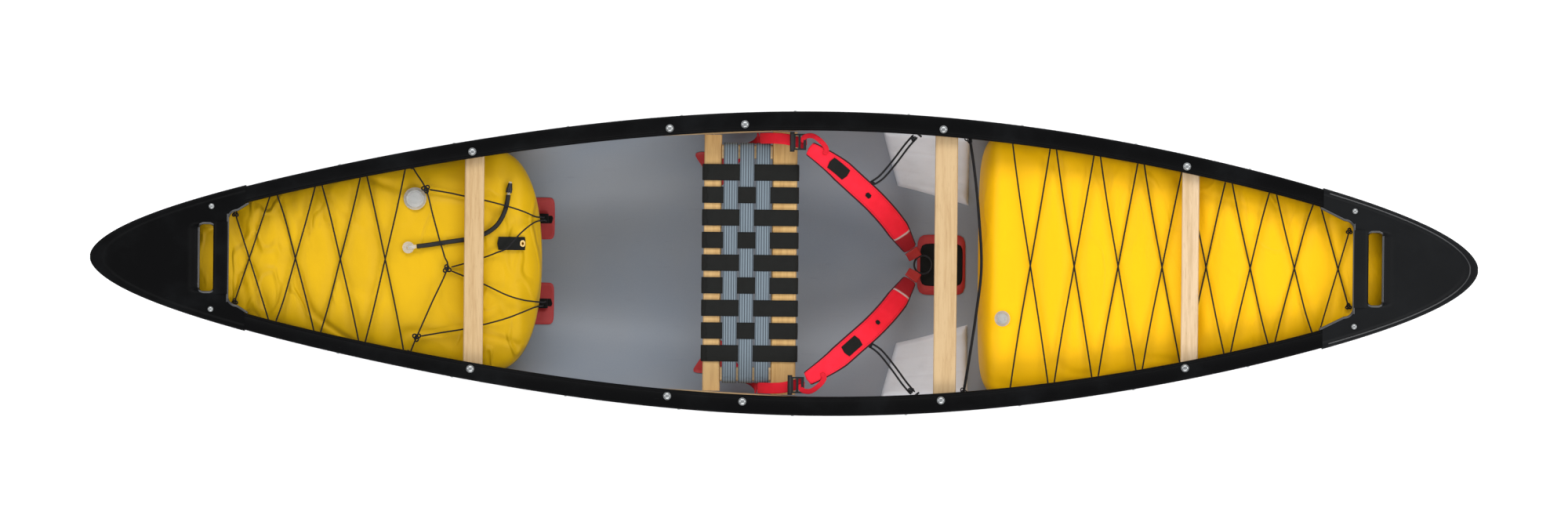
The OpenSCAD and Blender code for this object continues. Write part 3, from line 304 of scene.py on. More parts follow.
class Graph:
    """A new material and the means to add its nodes."""

    def __init__(self, name: str) -> None:
        """Makes an empty material with one Principled shader.

        Args:
            name: name of the material.
        """
        self.material = bpy.data.materials.new(name)
        self.material.use_nodes = True
        self.tree = self.material.node_tree
        self.shader = self.tree.nodes["Principled BSDF"]

    def add(self, kind: str, settings: dict | None = None, sockets: dict | None = None,
            out: int | str = 0) -> Value:
        """Adds any node.

        Args:
            kind: the node's type.
            settings: properties that are set first; "stops" fills a colour ramp.
            sockets: inputs by name or number, each a number, a colour or a Value.
            out: which output to hand back.

        Returns:
            The chosen output.
        """
        node = self.tree.nodes.new(kind)
        for key, setting in (settings or {}).items():
            if key == "stops":
                self._fill_ramp(node.color_ramp, setting)
            else:
                setattr(node, key, setting)
        for key, given in (sockets or {}).items():
            self._feed(node.inputs[key], given)
        return Value(self, node.outputs[out])

    @staticmethod
    def _fill_ramp(ramp: bpy.types.ColorRamp, stops: Sequence[tuple[float, Colour]]) -> None:
        """Sets a colour ramp's stops.

        Args:
            ramp: the ramp to set.
            stops: place and colour of each stop.
        """
        while len(ramp.elements) < len(stops):
            ramp.elements.new(1.0)
        for element, (place, colour) in zip(ramp.elements, stops):
            element.position = place
            element.color = (*colour, 1)

    def _feed(self, socket: bpy.types.NodeSocket, given: "Value | float | tuple") -> None:
        """Links or sets one input.

        Args:
            socket: the input.
            given: a Value to link, or a number or colour to set.
        """
        if isinstance(given, Value):
            self.tree.links.new(given.socket, socket)
        elif isinstance(given, tuple) and len(given) == 3 and socket.type == "RGBA":
            socket.default_value = (*given, 1)
        else:
            socket.default_value = given

    def mix(self, factor: "Value | float", first: "Value | Colour", second: "Value | Colour") -> Value:
        """Blend of two colours."""
        return self.add("ShaderNodeMix", {"data_type": "RGBA"}, {0: factor, 6: first, 7: second}, 2)

    def noise(self, where: Value, scale: float, detail: float = 3.0, rough: float = 0.5) -> Value:
        """Cloudy noise from 0 to 1."""
        return self.add("ShaderNodeTexNoise", {}, {"Vector": where, "Scale": scale, "Detail": detail,
                                                   "Roughness": rough})

    def place(self, scale: tuple[float, float, float] = (1, 1, 1), turn: float = 0.0) -> Value:
        """Object coordinates, scaled and turned about Z.

        Args:
            scale: scale along each axis.
            turn: turn about Z, in radians.

        Returns:
            The coordinates.
        """
        where = self.add("ShaderNodeTexCoord", {}, {}, "Object")
        return self.add("ShaderNodeMapping", {}, {"Vector": where, "Scale": scale,
                                                  "Rotation": (0.0, 0.0, turn)})

    def attribute(self, name: str) -> Value:
        """A number stored on the piece's own points."""
        return self.add("ShaderNodeAttribute", {"attribute_name": name}, {}, "Fac")

    def bump(self, height: Value, distance: float, strength: float = 1.0) -> Value:
        """Normal raised by a height."""
        return self.add("ShaderNodeBump", {}, {"Height": height, "Distance": distance,
                                               "Strength": strength})

    def shade(self, **sockets: "Value | float | tuple") -> Material:
        """Sets the Principled shader's inputs, with _ for a space, and hands back the material.

        Args:
            sockets: what each input gets.

        Returns:
            The finished material.
        """
        for key, given in sockets.items():
            self._feed(self.shader.inputs[key.replace("_", " ")], given)
        return self.material


# ---- Finishes ---------------------------------------------------------------------------


class Grain(Enum):
    """Which way the grain of a bar runs."""

    ATHWART = (1.0, 0.06, 1.0)
    FORE_AFT = (0.06, 1.0, 1.0)


@dataclass(frozen=True)
class AshFinish:
    """Varnished ash with straight grain."""

    name: str
    grain: Grain
    pale: Colour = (0.56, 0.385, 0.20)
    dark: Colour = (0.40, 0.235, 0.095)

    def make(self) -> Material:
        """Builds the material.

        Returns:
            The material.
        """
        graph = Graph(self.name)
        where = graph.place(self.grain.value)
        board = graph.noise(where, 9, 2, 0.4)
        rings = graph.noise(where, 95, 6, 0.65)
        pores = graph.noise(where, 520, 2, 0.5)
        streak = rings.ease(0.40, 0.68)
        base = graph.mix(streak * 0.65, self.pale, self.dark)
        base = graph.mix(board.ease(0.35, 0.75) * 0.35, base, (0.62, 0.46, 0.27))
        base = graph.mix(pores.ease(0.60, 0.74) * 0.35, base, (0.30, 0.16, 0.07))
        return graph.shade(Base_Color=base, Roughness=0.34 + pores * 0.12, Specular_IOR_Level=0.2,
                           Coat_Weight=0.25, Coat_Roughness=0.12,
                           Normal=graph.bump(rings + pores * 0.5, 0.0004, 0.5))


@dataclass(frozen=True)
class LaminateFinish:
    """Hull laminate: grey lining inside, black gel coat outside."""

    name: str = "hull_laminate"
    inside: Colour = (0.262, 0.298, 0.352)
    outside: Colour = (0.006, 0.006, 0.007)

    def make(self) -> Material:
        """Builds the material.

        Returns:
            The material.
        """
        graph = Graph(self.name)
        where = graph.place()
        cloud = graph.noise(where, 2.2, 4, 0.55)
        speck = graph.noise(where, 900, 2, 0.6)
        scuff = graph.noise(graph.place((1.0, 5.0, 5.0)), 14, 6, 0.7)
        lining = graph.mix(cloud.ease(0.3, 0.7), self.inside, (0.290, 0.310, 0.340))
        lining = graph.mix(speck.ease(0.52, 0.66) * 0.30, lining, (0.36, 0.38, 0.41))
        lining = graph.mix(scuff.ease(0.60, 0.78) * 0.25, lining, (0.17, 0.18, 0.20))
        inner = graph.attribute("lining")
        return graph.shade(Base_Color=graph.mix(inner, self.outside, lining),
                           Roughness=0.30 + inner * 0.06 + scuff * 0.12, Specular_IOR_Level=0.3,
                           Normal=graph.bump(speck + scuff * 0.4, 0.0003, 0.35))


@dataclass(frozen=True)
class VinylFinish:
    """Black moulded plastic with a fine pebble and rubbed high spots."""

    name: str = "black_vinyl"
    base: Colour = (0.0022, 0.0022, 0.0024)
    worn: Colour = (0.010, 0.011, 0.012)
    roughness: float = 0.36
    pebble: float = 1400.0
    gloss: float = 0.05

    def make(self) -> Material:
        """Builds the material.

        Returns:
            The material.
        """
        graph = Graph(self.name)
        where = graph.place()
        cloud = graph.noise(where, 6, 5, 0.6)
        scratch = graph.noise(graph.place((1.0, 9.0, 4.0), 0.15), 30, 6, 0.75)
        grain = graph.noise(where, self.pebble, 1, 0.5)
        colour = graph.mix(cloud.ease(0.45, 0.8) * 0.5, self.base, self.worn)
        colour = graph.mix(scratch.ease(0.66, 0.74) * 0.4, colour, (0.028, 0.028, 0.031))
        return graph.shade(Base_Color=colour, Roughness=self.roughness + cloud * 0.15,
                           Specular_IOR_Level=self.gloss,
                           Normal=graph.bump(grain + scratch * 0.5, 0.00015, 0.45))


@dataclass(frozen=True)
class WebbingFinish:
    """Woven webbing with ribs across it, and stripes along it where there are any."""

    name: str
    base: Colour
    stripe: Colour
    stripes: int = 0
    shine: float = 0.55

    def make(self) -> Material:
        """Builds the material.

        Returns:
            The material.
        """
        graph = Graph(self.name)
        across = graph.attribute("across")
        along = graph.attribute("along")
        rib = (along * (TAU / 0.0028)).sin()
        warp = (across * (TAU * 9)).sin()
        weave = rib * warp
        worn = graph.noise(graph.place(), 45, 5, 0.65)
        bands = (across * (pi * max(self.stripes, 1))).sin()
        band = (bands * bands).ease(0.62, 0.94) * (1.0 if self.stripes else 0.0)
        selvedge = abs(across).ease(0.84, 0.97)
        colour = graph.mix(band, self.base, self.stripe)
        colour = graph.mix(selvedge * 0.6, colour, self.stripe)
        # Painted highlight: the raised crossings of the weave are painted lighter than the strap's own colour.
        crown = tuple(min(1.7 * c + 0.002, 1) for c in self.base)
        colour = graph.mix(weave.ease(-0.2, 1.0) * 0.22, colour, crown)
        colour = graph.mix(worn.ease(0.5, 0.8) * 0.3, colour, tuple(0.7 * c for c in self.base))
        return graph.shade(Base_Color=colour, Roughness=self.shine + worn * 0.2, Specular_IOR_Level=0.15,
                           Sheen_Weight=0.03, Normal=graph.bump(weave, 0.0004, 0.7))


@dataclass(frozen=True)
class StrapCoverFinish:
    """Nylon cover of the padded straps, with bound edges and rows of stitches."""

    name: str = "red_cover"
    base: Colour = (0.86, 0.012, 0.032)
    binding: Colour = (0.045, 0.010, 0.014)
    satin: Colour = (0.33, 0.010, 0.018)
    satin_from: float = 0.84

    def make(self) -> Material:
        """Builds the material.

        Returns:
            The material.
        """
        graph = Graph(self.name)
        across = abs(graph.attribute("across"))
        along = graph.attribute("along")
        share = graph.attribute("share")
        weave = (along * (TAU / 0.0022)).sin() * (across * (TAU * 11)).sin()
        creases = graph.noise(graph.place((1.0, 1.0, 0.5), 0.7), 38, 5, 0.6)
        edge = across.ease(0.84, 0.88)
        row = across.ease(0.715, 0.735) * (1 - across.ease(0.750, 0.770))
        dash = (along * (TAU / 0.0065)).sin() > -0.35
        stitch = row * dash
        seam = share.ease(self.satin_from - 0.012, self.satin_from)
        colour = graph.mix(creases.ease(0.35, 0.75) * 0.45, self.base, (0.98, 0.022, 0.050))
        colour = graph.mix(seam, colour, self.satin)
        colour = graph.mix(seam * (1 - share.ease(self.satin_from, self.satin_from + 0.016)),
                           colour, (0.62, 0.50, 0.48))
        colour = graph.mix(edge, colour, self.binding)
        colour = graph.mix(stitch, colour, (0.30, 0.02, 0.03))
        relief = weave * 0.12 + creases * 1.6 - stitch * 0.8 + edge * 0.7
        return graph.shade(Base_Color=colour, Roughness=0.46 + creases * 0.2, Specular_IOR_Level=0.15,
                           Sheen_Weight=0.04, Normal=graph.bump(relief, 0.0012, 0.6))


@dataclass(frozen=True)
class PatchFinish:
    """Coated red fabric of the glued patches."""

    name: str = "red_patch"
    base: Colour = (0.46, 0.022, 0.024)

    def make(self) -> Material:
        """Builds the material.

        Returns:
            The material.
        """
        graph = Graph(self.name)
        cloud = graph.noise(graph.place(), 24, 5, 0.6)
        cloth = graph.noise(graph.place(), 700, 2, 0.6)
        colour = graph.mix(cloud.ease(0.35, 0.75) * 0.6, self.base, (0.52, 0.045, 0.04))
        return graph.shade(Base_Color=colour, Roughness=0.42 + cloud * 0.25,
                           Normal=graph.bump(cloth + cloud, 0.0004, 0.6))


@dataclass(frozen=True)
class FoamFinish:
    """Pale closed-cell foam with moulded channels."""

    name: str = "pad_foam"
    base: Colour = (0.74, 0.76, 0.80)

    def make(self) -> Material:
        """Builds the material.

        Returns:
            The material.
        """
        graph = Graph(self.name)
        where = graph.place()
        cell = graph.noise(where, 850, 2, 0.7)
        smudge = graph.noise(where, 16, 5, 0.6)
        colour = graph.mix(smudge.ease(0.45, 0.8) * 0.5, self.base, (0.60, 0.61, 0.64))
        colour = graph.mix(cell.ease(0.55, 0.7) * 0.25, colour, (0.56, 0.57, 0.60))
        return graph.shade(Base_Color=colour, Roughness=0.78 + smudge * 0.12,
                           Normal=graph.bump(cell, 0.0005, 0.5))


@dataclass(frozen=True)
class BagFinish:
    """Coated nylon skin of an airbag."""

    name: str
    base: Colour
    shade_colour: Colour
    creases: float

    def make(self) -> Material:
        """Builds the material.

        Returns:
            The material.
        """
        graph = Graph(self.name)
        where = graph.place()
        cloud = graph.noise(where, 5, 4, 0.55)
        fold = graph.noise(graph.place((2.2, 1.0, 1.0), 0.6), 6, 1.5, 0.4)
        crease_and_shade_mask = 1 - abs(fold - 0.5).ease(0.0, 0.05)
        patchy = graph.noise(where, 4, 2, 0.5).ease(0.44, 0.60)
        cloth = graph.noise(where, 1100, 1, 0.5)
        colour = graph.mix(cloud.ease(0.3, 0.75) * 0.6, self.base, self.shade_colour)
        # Painted shade: the skin is darkened along the crease lines, where shade falls in the folds.
        colour = graph.mix(crease_and_shade_mask * patchy * 0.16 * self.creases, colour, tuple(0.66 * c for c in self.base))
        height = fold * 2.0 * self.creases + crease_and_shade_mask * patchy * self.creases + cloth * 0.05
        return graph.shade(Base_Color=colour, Roughness=0.34 + cloud * 0.16, Specular_IOR_Level=0.16,
                           Normal=graph.bump(height, 0.006, 0.7))


@dataclass(frozen=True)
class CordFinish:
    """Braided black cord."""

    name: str = "black_cord"
    base: Colour = (0.010, 0.010, 0.011)

    def make(self) -> Material:
        """Builds the material.

        Returns:
            The material.
        """
        graph = Graph(self.name)
        across = graph.attribute("across")
        along = graph.attribute("along")
        braid = (along * (TAU / 0.004) + across * 6.0).sin() * (along * (TAU / 0.004) - across * 6.0).sin()
        # Painted highlight: the raised strands of the braid are painted lighter than the hollows between them.
        colour = graph.mix(braid.ease(-0.2, 0.9) * 0.7, self.base, (0.045, 0.045, 0.05))
        return graph.shade(Base_Color=colour, Roughness=0.58 + braid * 0.08, Specular_IOR_Level=0.2,
                           Normal=graph.bump(braid, 0.0006, 0.8))


@dataclass(frozen=True)
class MetalFinish:
    """Bare metal with fine rubbing marks."""

    name: str
    base: Colour
    roughness: float = 0.24

    def make(self) -> Material:
        """Builds the material.

        Returns:
            The material.
        """
        graph = Graph(self.name)
        rub = graph.noise(graph.place((1.0, 6.0, 1.0)), 320, 4, 0.7)
        stain = graph.noise(graph.place(), 60, 4, 0.6)
        colour = graph.mix(stain.ease(0.45, 0.8) * 0.5, self.base, tuple(0.62 * c for c in self.base))
        return graph.shade(Base_Color=colour, Metallic=1.0, Roughness=self.roughness + rub * 0.16,
                           Normal=graph.bump(rub, 0.0002, 0.3))


@dataclass(frozen=True)
class ClearFinish:
    """Clear moulded plastic, a little milky with age."""

    name: str = "clear_plastic"

    def make(self) -> Material:
        """Builds the material.

        Returns:
            The material.
        """
        graph = Graph(self.name)
        haze = graph.noise(graph.place(), 160, 4, 0.6)
        colour = graph.mix(haze.ease(0.4, 0.8) * 0.6, (0.90, 0.91, 0.90), (0.74, 0.75, 0.72))
        return graph.shade(Base_Color=colour, Roughness=0.10 + haze * 0.2, Transmission_Weight=0.72,
                           IOR=1.46, Normal=graph.bump(haze, 0.0004, 0.4))


# ---- Bench: modelling helpers -----------------------------------------------------------


@dataclass(frozen=True)
class Frame:
    """A place on a route, with its side and up."""

    at: Vector
    side: Vector
    up: Vector


class Bench:
    """Operators and modifiers used the way they are by hand."""

    @staticmethod
    def clear() -> None:
        """Leaves nothing selected, in object mode."""
        if bpy.context.object is not None and bpy.context.object.mode != "OBJECT":
            bpy.ops.object.mode_set(mode="OBJECT")
        bpy.ops.object.select_all(action="DESELECT")

    @classmethod
    def take(cls, piece: Piece) -> Piece:
        """Selects one piece alone and makes it active.

        Args:
            piece: the piece worked on.

        Returns:
            The same piece.
        """
        cls.clear()
        piece.select_set(True)
        bpy.context.view_layer.objects.active = piece
        return piece

    @classmethod
    def formed(cls, name: str, across: int, along: int,
               place: Callable[[float, float], Point]) -> Piece:
        """Adds a grid and bends it to a surface.

        Args:
            name: name of the piece.
            across: divisions of the first way.
            along: divisions of the second way.
            place: where the point at two shares from 0 to 1 goes.

        Returns:
            The new piece.
        """
        cls.clear()
        bpy.ops.mesh.primitive_grid_add(x_subdivisions=across, y_subdivisions=along, size=1)
        piece = bpy.context.object
        piece.name = name
        piece.data.name = name
        for vertex in piece.data.vertices:
            vertex.co = place(vertex.co.x + 0.5, vertex.co.y + 0.5)
        return piece

    @classmethod
    def weld(cls, piece: Piece, close: bool = True, near: float = 2e-5) -> Piece:
        """Merges doubled points, closes open ends and turns the faces outwards.

        Args:
            piece: the piece worked on.
            close: True to fill the open ends.
            near: distance within which points merge.

        Returns:
            The same piece.
        """
        cls.take(piece)
        bpy.ops.object.mode_set(mode="EDIT")
        bpy.ops.mesh.select_all(action="SELECT")
        bpy.ops.mesh.remove_doubles(threshold=near)
        if close:
            bpy.ops.mesh.fill_holes(sides=0)
            bpy.ops.mesh.select_all(action="SELECT")
        bpy.ops.mesh.normals_make_consistent(inside=False)
        bpy.ops.object.mode_set(mode="OBJECT")
        return piece

    @classmethod
    def modify(cls, piece: Piece, kind: str, **settings: object) -> Piece:
        """Adds one modifier with its settings and applies it.

        Args:
            piece: the piece worked on.
            kind: the modifier's type.
            settings: the modifier's settings.

        Returns:
            The same piece.
        """
        cls.take(piece)
        modifier = piece.modifiers.new(kind.lower(), kind)
        for key, setting in settings.items():
            setattr(modifier, key, setting)
        bpy.ops.object.modifier_apply(modifier=modifier.name)
        return piece

    @classmethod
    def smooth(cls, piece: Piece, degrees: float = 35.0) -> Piece:
        """Shades smooth, except over sharp edges.

        Args:
            piece: the piece worked on.
            degrees: angle from which an edge stays sharp.

        Returns:
            The same piece.
        """
        cls.take(piece)
        bpy.ops.object.shade_smooth_by_angle(angle=radians(degrees))
        return piece

    @classmethod
    def join(cls, name: str, pieces: Sequence[Piece]) -> Piece:
        """Joins pieces into the first one.

        Args:
            name: name of the piece.
            pieces: what to join.

        Returns:
            The joined piece.
        """
        cls.take(pieces[0])
        for piece in pieces:
            piece.select_set(True)
        if len(pieces) > 1:
            bpy.ops.object.join()
        pieces[0].name = name
        pieces[0].data.name = name
        return pieces[0]

    @classmethod
    def cut(cls, piece: Piece, cutter: Piece) -> Piece:
        """Cuts one closed piece out of another.

        Args:
            piece: the piece worked on.
            cutter: the piece taken away, which is removed.

        Returns:
            The piece that was cut.
        """
        cls.modify(piece, "BOOLEAN", operation="DIFFERENCE", object=cutter, solver="EXACT")
        bpy.data.objects.remove(cutter)
        return piece

    @classmethod
    def copied(cls, piece: Piece, where: Matrix) -> Piece:
        """Copies a piece with its own mesh, placed in the mesh.

        Args:
            piece: the piece worked on.
            where: where the copy's origin goes.

        Returns:
            The copy.
        """
        mesh = piece.data.copy()
        mesh.transform(where)
        copy = bpy.data.objects.new(piece.name, mesh)
        bpy.context.scene.collection.objects.link(copy)
        return copy

    @staticmethod
    def path(points: Sequence[Point], step: float = 0.006, loop: bool = False) -> list[Vector]:
        """Even points on one smooth curve through a route.

        Args:
            points: the route's own points.
            step: distance between the points made.
            loop: True if the route closes on itself.

        Returns:
            The points, the last the same as the first on a loop.
        """
        given = [Vector(p) for p in points]
        count = len(given)
        spans = count if loop else count - 1
        fine: list[Vector] = []
        for i in range(spans):
            if loop:
                a, b, c, d = (given[(i + k) % count] for k in (-1, 0, 1, 2))
            else:
                a, b, c, d = (given[min(max(i + k, 0), count - 1)] for k in (-1, 0, 1, 2))
            pieces = max(int((c - b).length / step * 2), 4)
            for k in range(pieces):
                t = k / pieces
                fine.append(0.5 * ((2 * b) + (c - a) * t + (2 * a - 5 * b + 4 * c - d) * t ** 2
                                   + (3 * b - 3 * c + d - a) * t ** 3))
        fine.append(given[0].copy() if loop else given[-1])
        return Bench.even(fine, step)

    @staticmethod
    def even(points: Sequence[Vector], step: float) -> list[Vector]:
        """Points an even distance apart along a polyline.

        Args:
            points: the polyline.
            step: distance wanted.

        Returns:
            The points, with both ends kept.
        """
        lengths = [0.0]
        for a, b in zip(points, points[1:]):
            lengths.append(lengths[-1] + (b - a).length)
        count = max(int(round(lengths[-1] / step)), 2)
        made, k = [], 0
        for i in range(count + 1):
            want = lengths[-1] * i / count
            while k < len(points) - 2 and lengths[k + 1] < want:
                k += 1
            share = (want - lengths[k]) / max(lengths[k + 1] - lengths[k], 1e-9)
            made.append(points[k].lerp(points[k + 1], min(max(share, 0.0), 1.0)))
        return made

    @staticmethod
    def frames(path: Sequence[Vector], facing: Vector | None, loop: bool) -> list[Frame]:
        """A frame at each point of a path.

        Args:
            path: even points.
            facing: the way that the broad face looks, or None for a round section.
            loop: True if the path closes on itself.

        Returns:
            One frame for each point.
        """
        last = len(path) - 1
        made: list[Frame] = []
        up = UP
        for i, at in enumerate(path):
            if loop:
                way = (path[(i + 1) % last] - path[(i - 1) % last]).normalized()
            else:
                way = (path[min(i + 1, last)] - path[max(i - 1, 0)]).normalized()
            if facing is not None:
                side = facing.cross(way).normalized()
            else:
                side = up.cross(way)
                side = side.normalized() if side.length > 1e-4 else Vector((0, 1, 0))
            up = way.cross(side).normalized()
            made.append(Frame(at, side, up))
        return made

    @classmethod
    def sweep(cls, name: str, path: Sequence[Vector], section: Section,
              facing: Vector | None = None, sides: int = 10, loop: bool = False,
              taper: float = 0.0) -> Piece:
        """Sweeps a closed section along a path.

        Args:
            name: name of the piece.
            path: even points to follow.
            section: offset across and up at an angle and a share of the length.
            facing: the way that the broad face looks, or None for a round section.
            sides: points round the section.
            loop: True if the path closes on itself.
            taper: distance over which each end rounds off, with loop False.

        Returns:
            The piece, with across, along and share stored on its points.
        """
        frames = cls.frames(path, facing, loop)
        last = len(path) - 1
        length = sum((b - a).length for a, b in zip(path, path[1:]))
        stored: dict[str, list[float]] = {"across": [], "along": [], "share": []}

        def place(u: float, v: float) -> Vector:
            """Point of the section's outline at a place along the path.

            Args:
                u: share round the section.
                v: share along the path.

            Returns:
                The point.
            """
            i = round(v * last)
            share = i / last
            over, rise = section(TAU * u, share)
            if taper > 0 and not loop:
                end = min(share, 1 - share) * length
                pull = sqrt(max(1 - (1 - min(end / taper, 1.0)) ** 2, 0.0))
                over, rise = over * pull, rise * pull
            here = frames[i]
            stored["across"].append(cos(TAU * u))
            stored["along"].append(share * length)
            stored["share"].append(share)
            return here.at + here.side * over + here.up * rise

        piece = cls.formed(name, sides, last, place)
        for key, values in stored.items():
            cls.store(piece, key, values)
        return cls.smooth(cls.weld(piece, close=not loop), 60)

    @staticmethod
    def store(piece: Piece, key: str, values: Sequence[float]) -> None:
        """Stores a number on each point of a piece."""
        piece.data.attributes.new(key, "FLOAT", "POINT").data.foreach_set("value", values)

    @classmethod
    def cord(cls, name: str, points: Sequence[Point], diameter: float, step: float = 0.006,
             sides: int = 8, loop: bool = False) -> Piece:
        """Round cord through a route, with rounded ends.

        Args:
            name: name of the piece.
            points: the route's own points.
            diameter: across the cord.
            step: distance between rings.
            sides: points round the section.
            loop: True if the route closes on itself.

        Returns:
            The cord.
        """
        radius = diameter / 2
        path = cls.path(points, step, loop)
        return cls.sweep(name, path, lambda a, t: (radius * cos(a), radius * sin(a)),
                         sides=sides, loop=loop, taper=0.0 if loop else radius)

    @classmethod
    def band(cls, name: str, path: Sequence[Vector], width: float, thick: float, facing: Vector,
             loop: bool = False, sides: int = 20) -> Piece:
        """Flat strap with soft edges along a path."""
        return cls.sweep(name, path, cls.flat_section(width, thick), facing, sides, loop,
                         0.0 if loop else thick * 0.6)

    @staticmethod
    def flat_section(width: float, thick: float, power: float = 5.0) -> Section:
        """Section of a strap: a rectangle with rounded edges.

        Args:
            width: width of the strap.
            thick: its thickness.
            power: squareness of the edges.

        Returns:
            The section for a sweep.
        """
        def section(angle: float, share: float) -> tuple[float, float]:
            """Offsets at an angle round the section.

            Args:
                angle: angle round the section.
                share: share of the length; not used.

            Returns:
                Offsets across and up.
            """
            c, s = cos(angle), sin(angle)
            return (copysign(abs(c) ** 0.9, c) * width / 2,
                    copysign(abs(s) ** (2 / power), s) * thick / 2)
        return section

    @classmethod
    def knot(cls, name: str, at: Point, size: float, diameter: float, turn: float = 0.0) -> Piece:
        """Overhand knot drawn tight: a trefoil of cord about a place.

        Args:
            name: name of the piece.
            at: its middle.
            size: about its width.
            diameter: across the cord.
            turn: turn about Z, in radians.

        Returns:
            The knot.
        """
        centre = Vector(at)
        spin = Matrix.Rotation(turn, 3, "Z")
        points = []
        for i in range(18):
            a = TAU * i / 18
            lobe = Vector((sin(a) + 2 * sin(2 * a), cos(a) - 2 * cos(2 * a),
                           -sin(3 * a) * 0.9))
            points.append(centre + spin @ (lobe * size / 6))
        return cls.cord(name, points, diameter, 0.003, 8, True)

    @classmethod
    def prism(cls, name: str, outline: Outline, low: float, high: float) -> Piece:
        """Closed prism over a flat outline.

        Args:
            name: name of the piece.
            outline: its corners in order.
            low: height of its underside.
            high: height of its top.

        Returns:
            The prism.
        """
        count = len(outline)
        piece = cls.formed(name, count, 1, lambda u, v: (*outline[round(u * count) % count],
                                                         low + (high - low) * v))
        return cls.weld(piece)


def dress(piece: Piece, material: Material) -> Piece:
    """Gives a piece or a CAD node one material.

    Args:
        piece: what to dress.
        material: its finish.

    Returns:
        The same piece.
    """
    if not piece.material_slots:
        piece.data.materials.append(material)
    for used in piece.material_slots:
        used.link = "OBJECT"
        used.material = material
    return piece


def dress_nodes(material: Material, *names: str) -> None:
    """Gives CAD nodes, kept as they are, their finish.

    Args:
        material: the finish.
        names: names of the nodes.
    """
    for name in names:
        dress(frame["nodes"][name], material)
        LOG.info("dressed %s", name)


def settle(piece: Piece, material: Material, slot: str, *nodes: str, body: str = "canoe") -> Piece:
    """Dresses a piece, rides it on its body and hides the CAD nodes that it stands for.

    Args:
        piece: the finished piece.
        material: its finish.
        slot: the record's material slot; not used.
        nodes: CAD nodes that it replaces.
        body: CAD body that it moves with.

    Returns:
        The same piece.
    """
    dress(piece, material)
    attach(piece, body)
    if nodes:
        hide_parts(*nodes)
    LOG.info("made %s, %d faces", piece.name, len(piece.data.polygons))
    return piece


class Finishes:
    """One material for each finish on the boat."""

    def __init__(self) -> None:
        """Makes every material once."""
        self.ash_athwart = AshFinish("ash_athwart", Grain.ATHWART).make()
        self.ash_fore_aft = AshFinish("ash_fore_aft", Grain.FORE_AFT).make()
        self.ash_pale = AshFinish("ash_pale", Grain.ATHWART, (0.68, 0.50, 0.31), (0.50, 0.33, 0.17)).make()
        self.ash_rail = AshFinish(
            "ash_rail", Grain.ATHWART, (0.56, 0.345, 0.125), (0.40, 0.215, 0.065)).make()
        self.laminate = LaminateFinish().make()
        self.vinyl = VinylFinish().make()
        self.moulded = VinylFinish(
            "black_moulding", (0.006, 0.006, 0.007), (0.018, 0.018, 0.020), 0.30, 2200.0, 0.4).make()
        self.charcoal = VinylFinish(
            "charcoal_vinyl", (0.0048, 0.0052, 0.0058), (0.010, 0.011, 0.012), 0.42, 1400.0, 0.12).make()
        self.edge = VinylFinish(
            "edge_vinyl", (0.0050, 0.0052, 0.0060), (0.016, 0.017, 0.020), 0.22, 1800.0, 1.0).make()
        self.rubber = VinylFinish(
            "hose_rubber", (0.008, 0.008, 0.008), (0.020, 0.020, 0.020), 0.45, 900.0, 0.3).make()
        self.black_web = WebbingFinish(
            "black_webbing", (0.0075, 0.0078, 0.0070), (0.0035, 0.0035, 0.0035)).make()
        self.grey_web = WebbingFinish("grey_webbing", (0.190, 0.235, 0.270), (0.030, 0.038, 0.050), 3).make()
        self.red_web = WebbingFinish("red_webbing", (0.74, 0.012, 0.028), (0.45, 0.008, 0.016)).make()
        self.red_cover = StrapCoverFinish().make()
        self.red_patch = PatchFinish().make()
        self.foam = FoamFinish().make()
        self.cord = CordFinish().make()
        self.stern_bag = BagFinish("stern_bag_skin", (0.70, 0.41, 0.004), (0.57, 0.33, 0.004), 1.0).make()
        self.bow_bag = BagFinish("bow_bag_skin", (0.96, 0.515, 0.002), (0.88, 0.46, 0.002), 0.25).make()
        self.steel = MetalFinish("steel", (0.38, 0.39, 0.39), 0.26).make()
        self.brass = MetalFinish("brass", (0.72, 0.50, 0.20), 0.3).make()
        self.clear = ClearFinish().make()


# ---- Camera, light and floor ------------------------------------------------------------


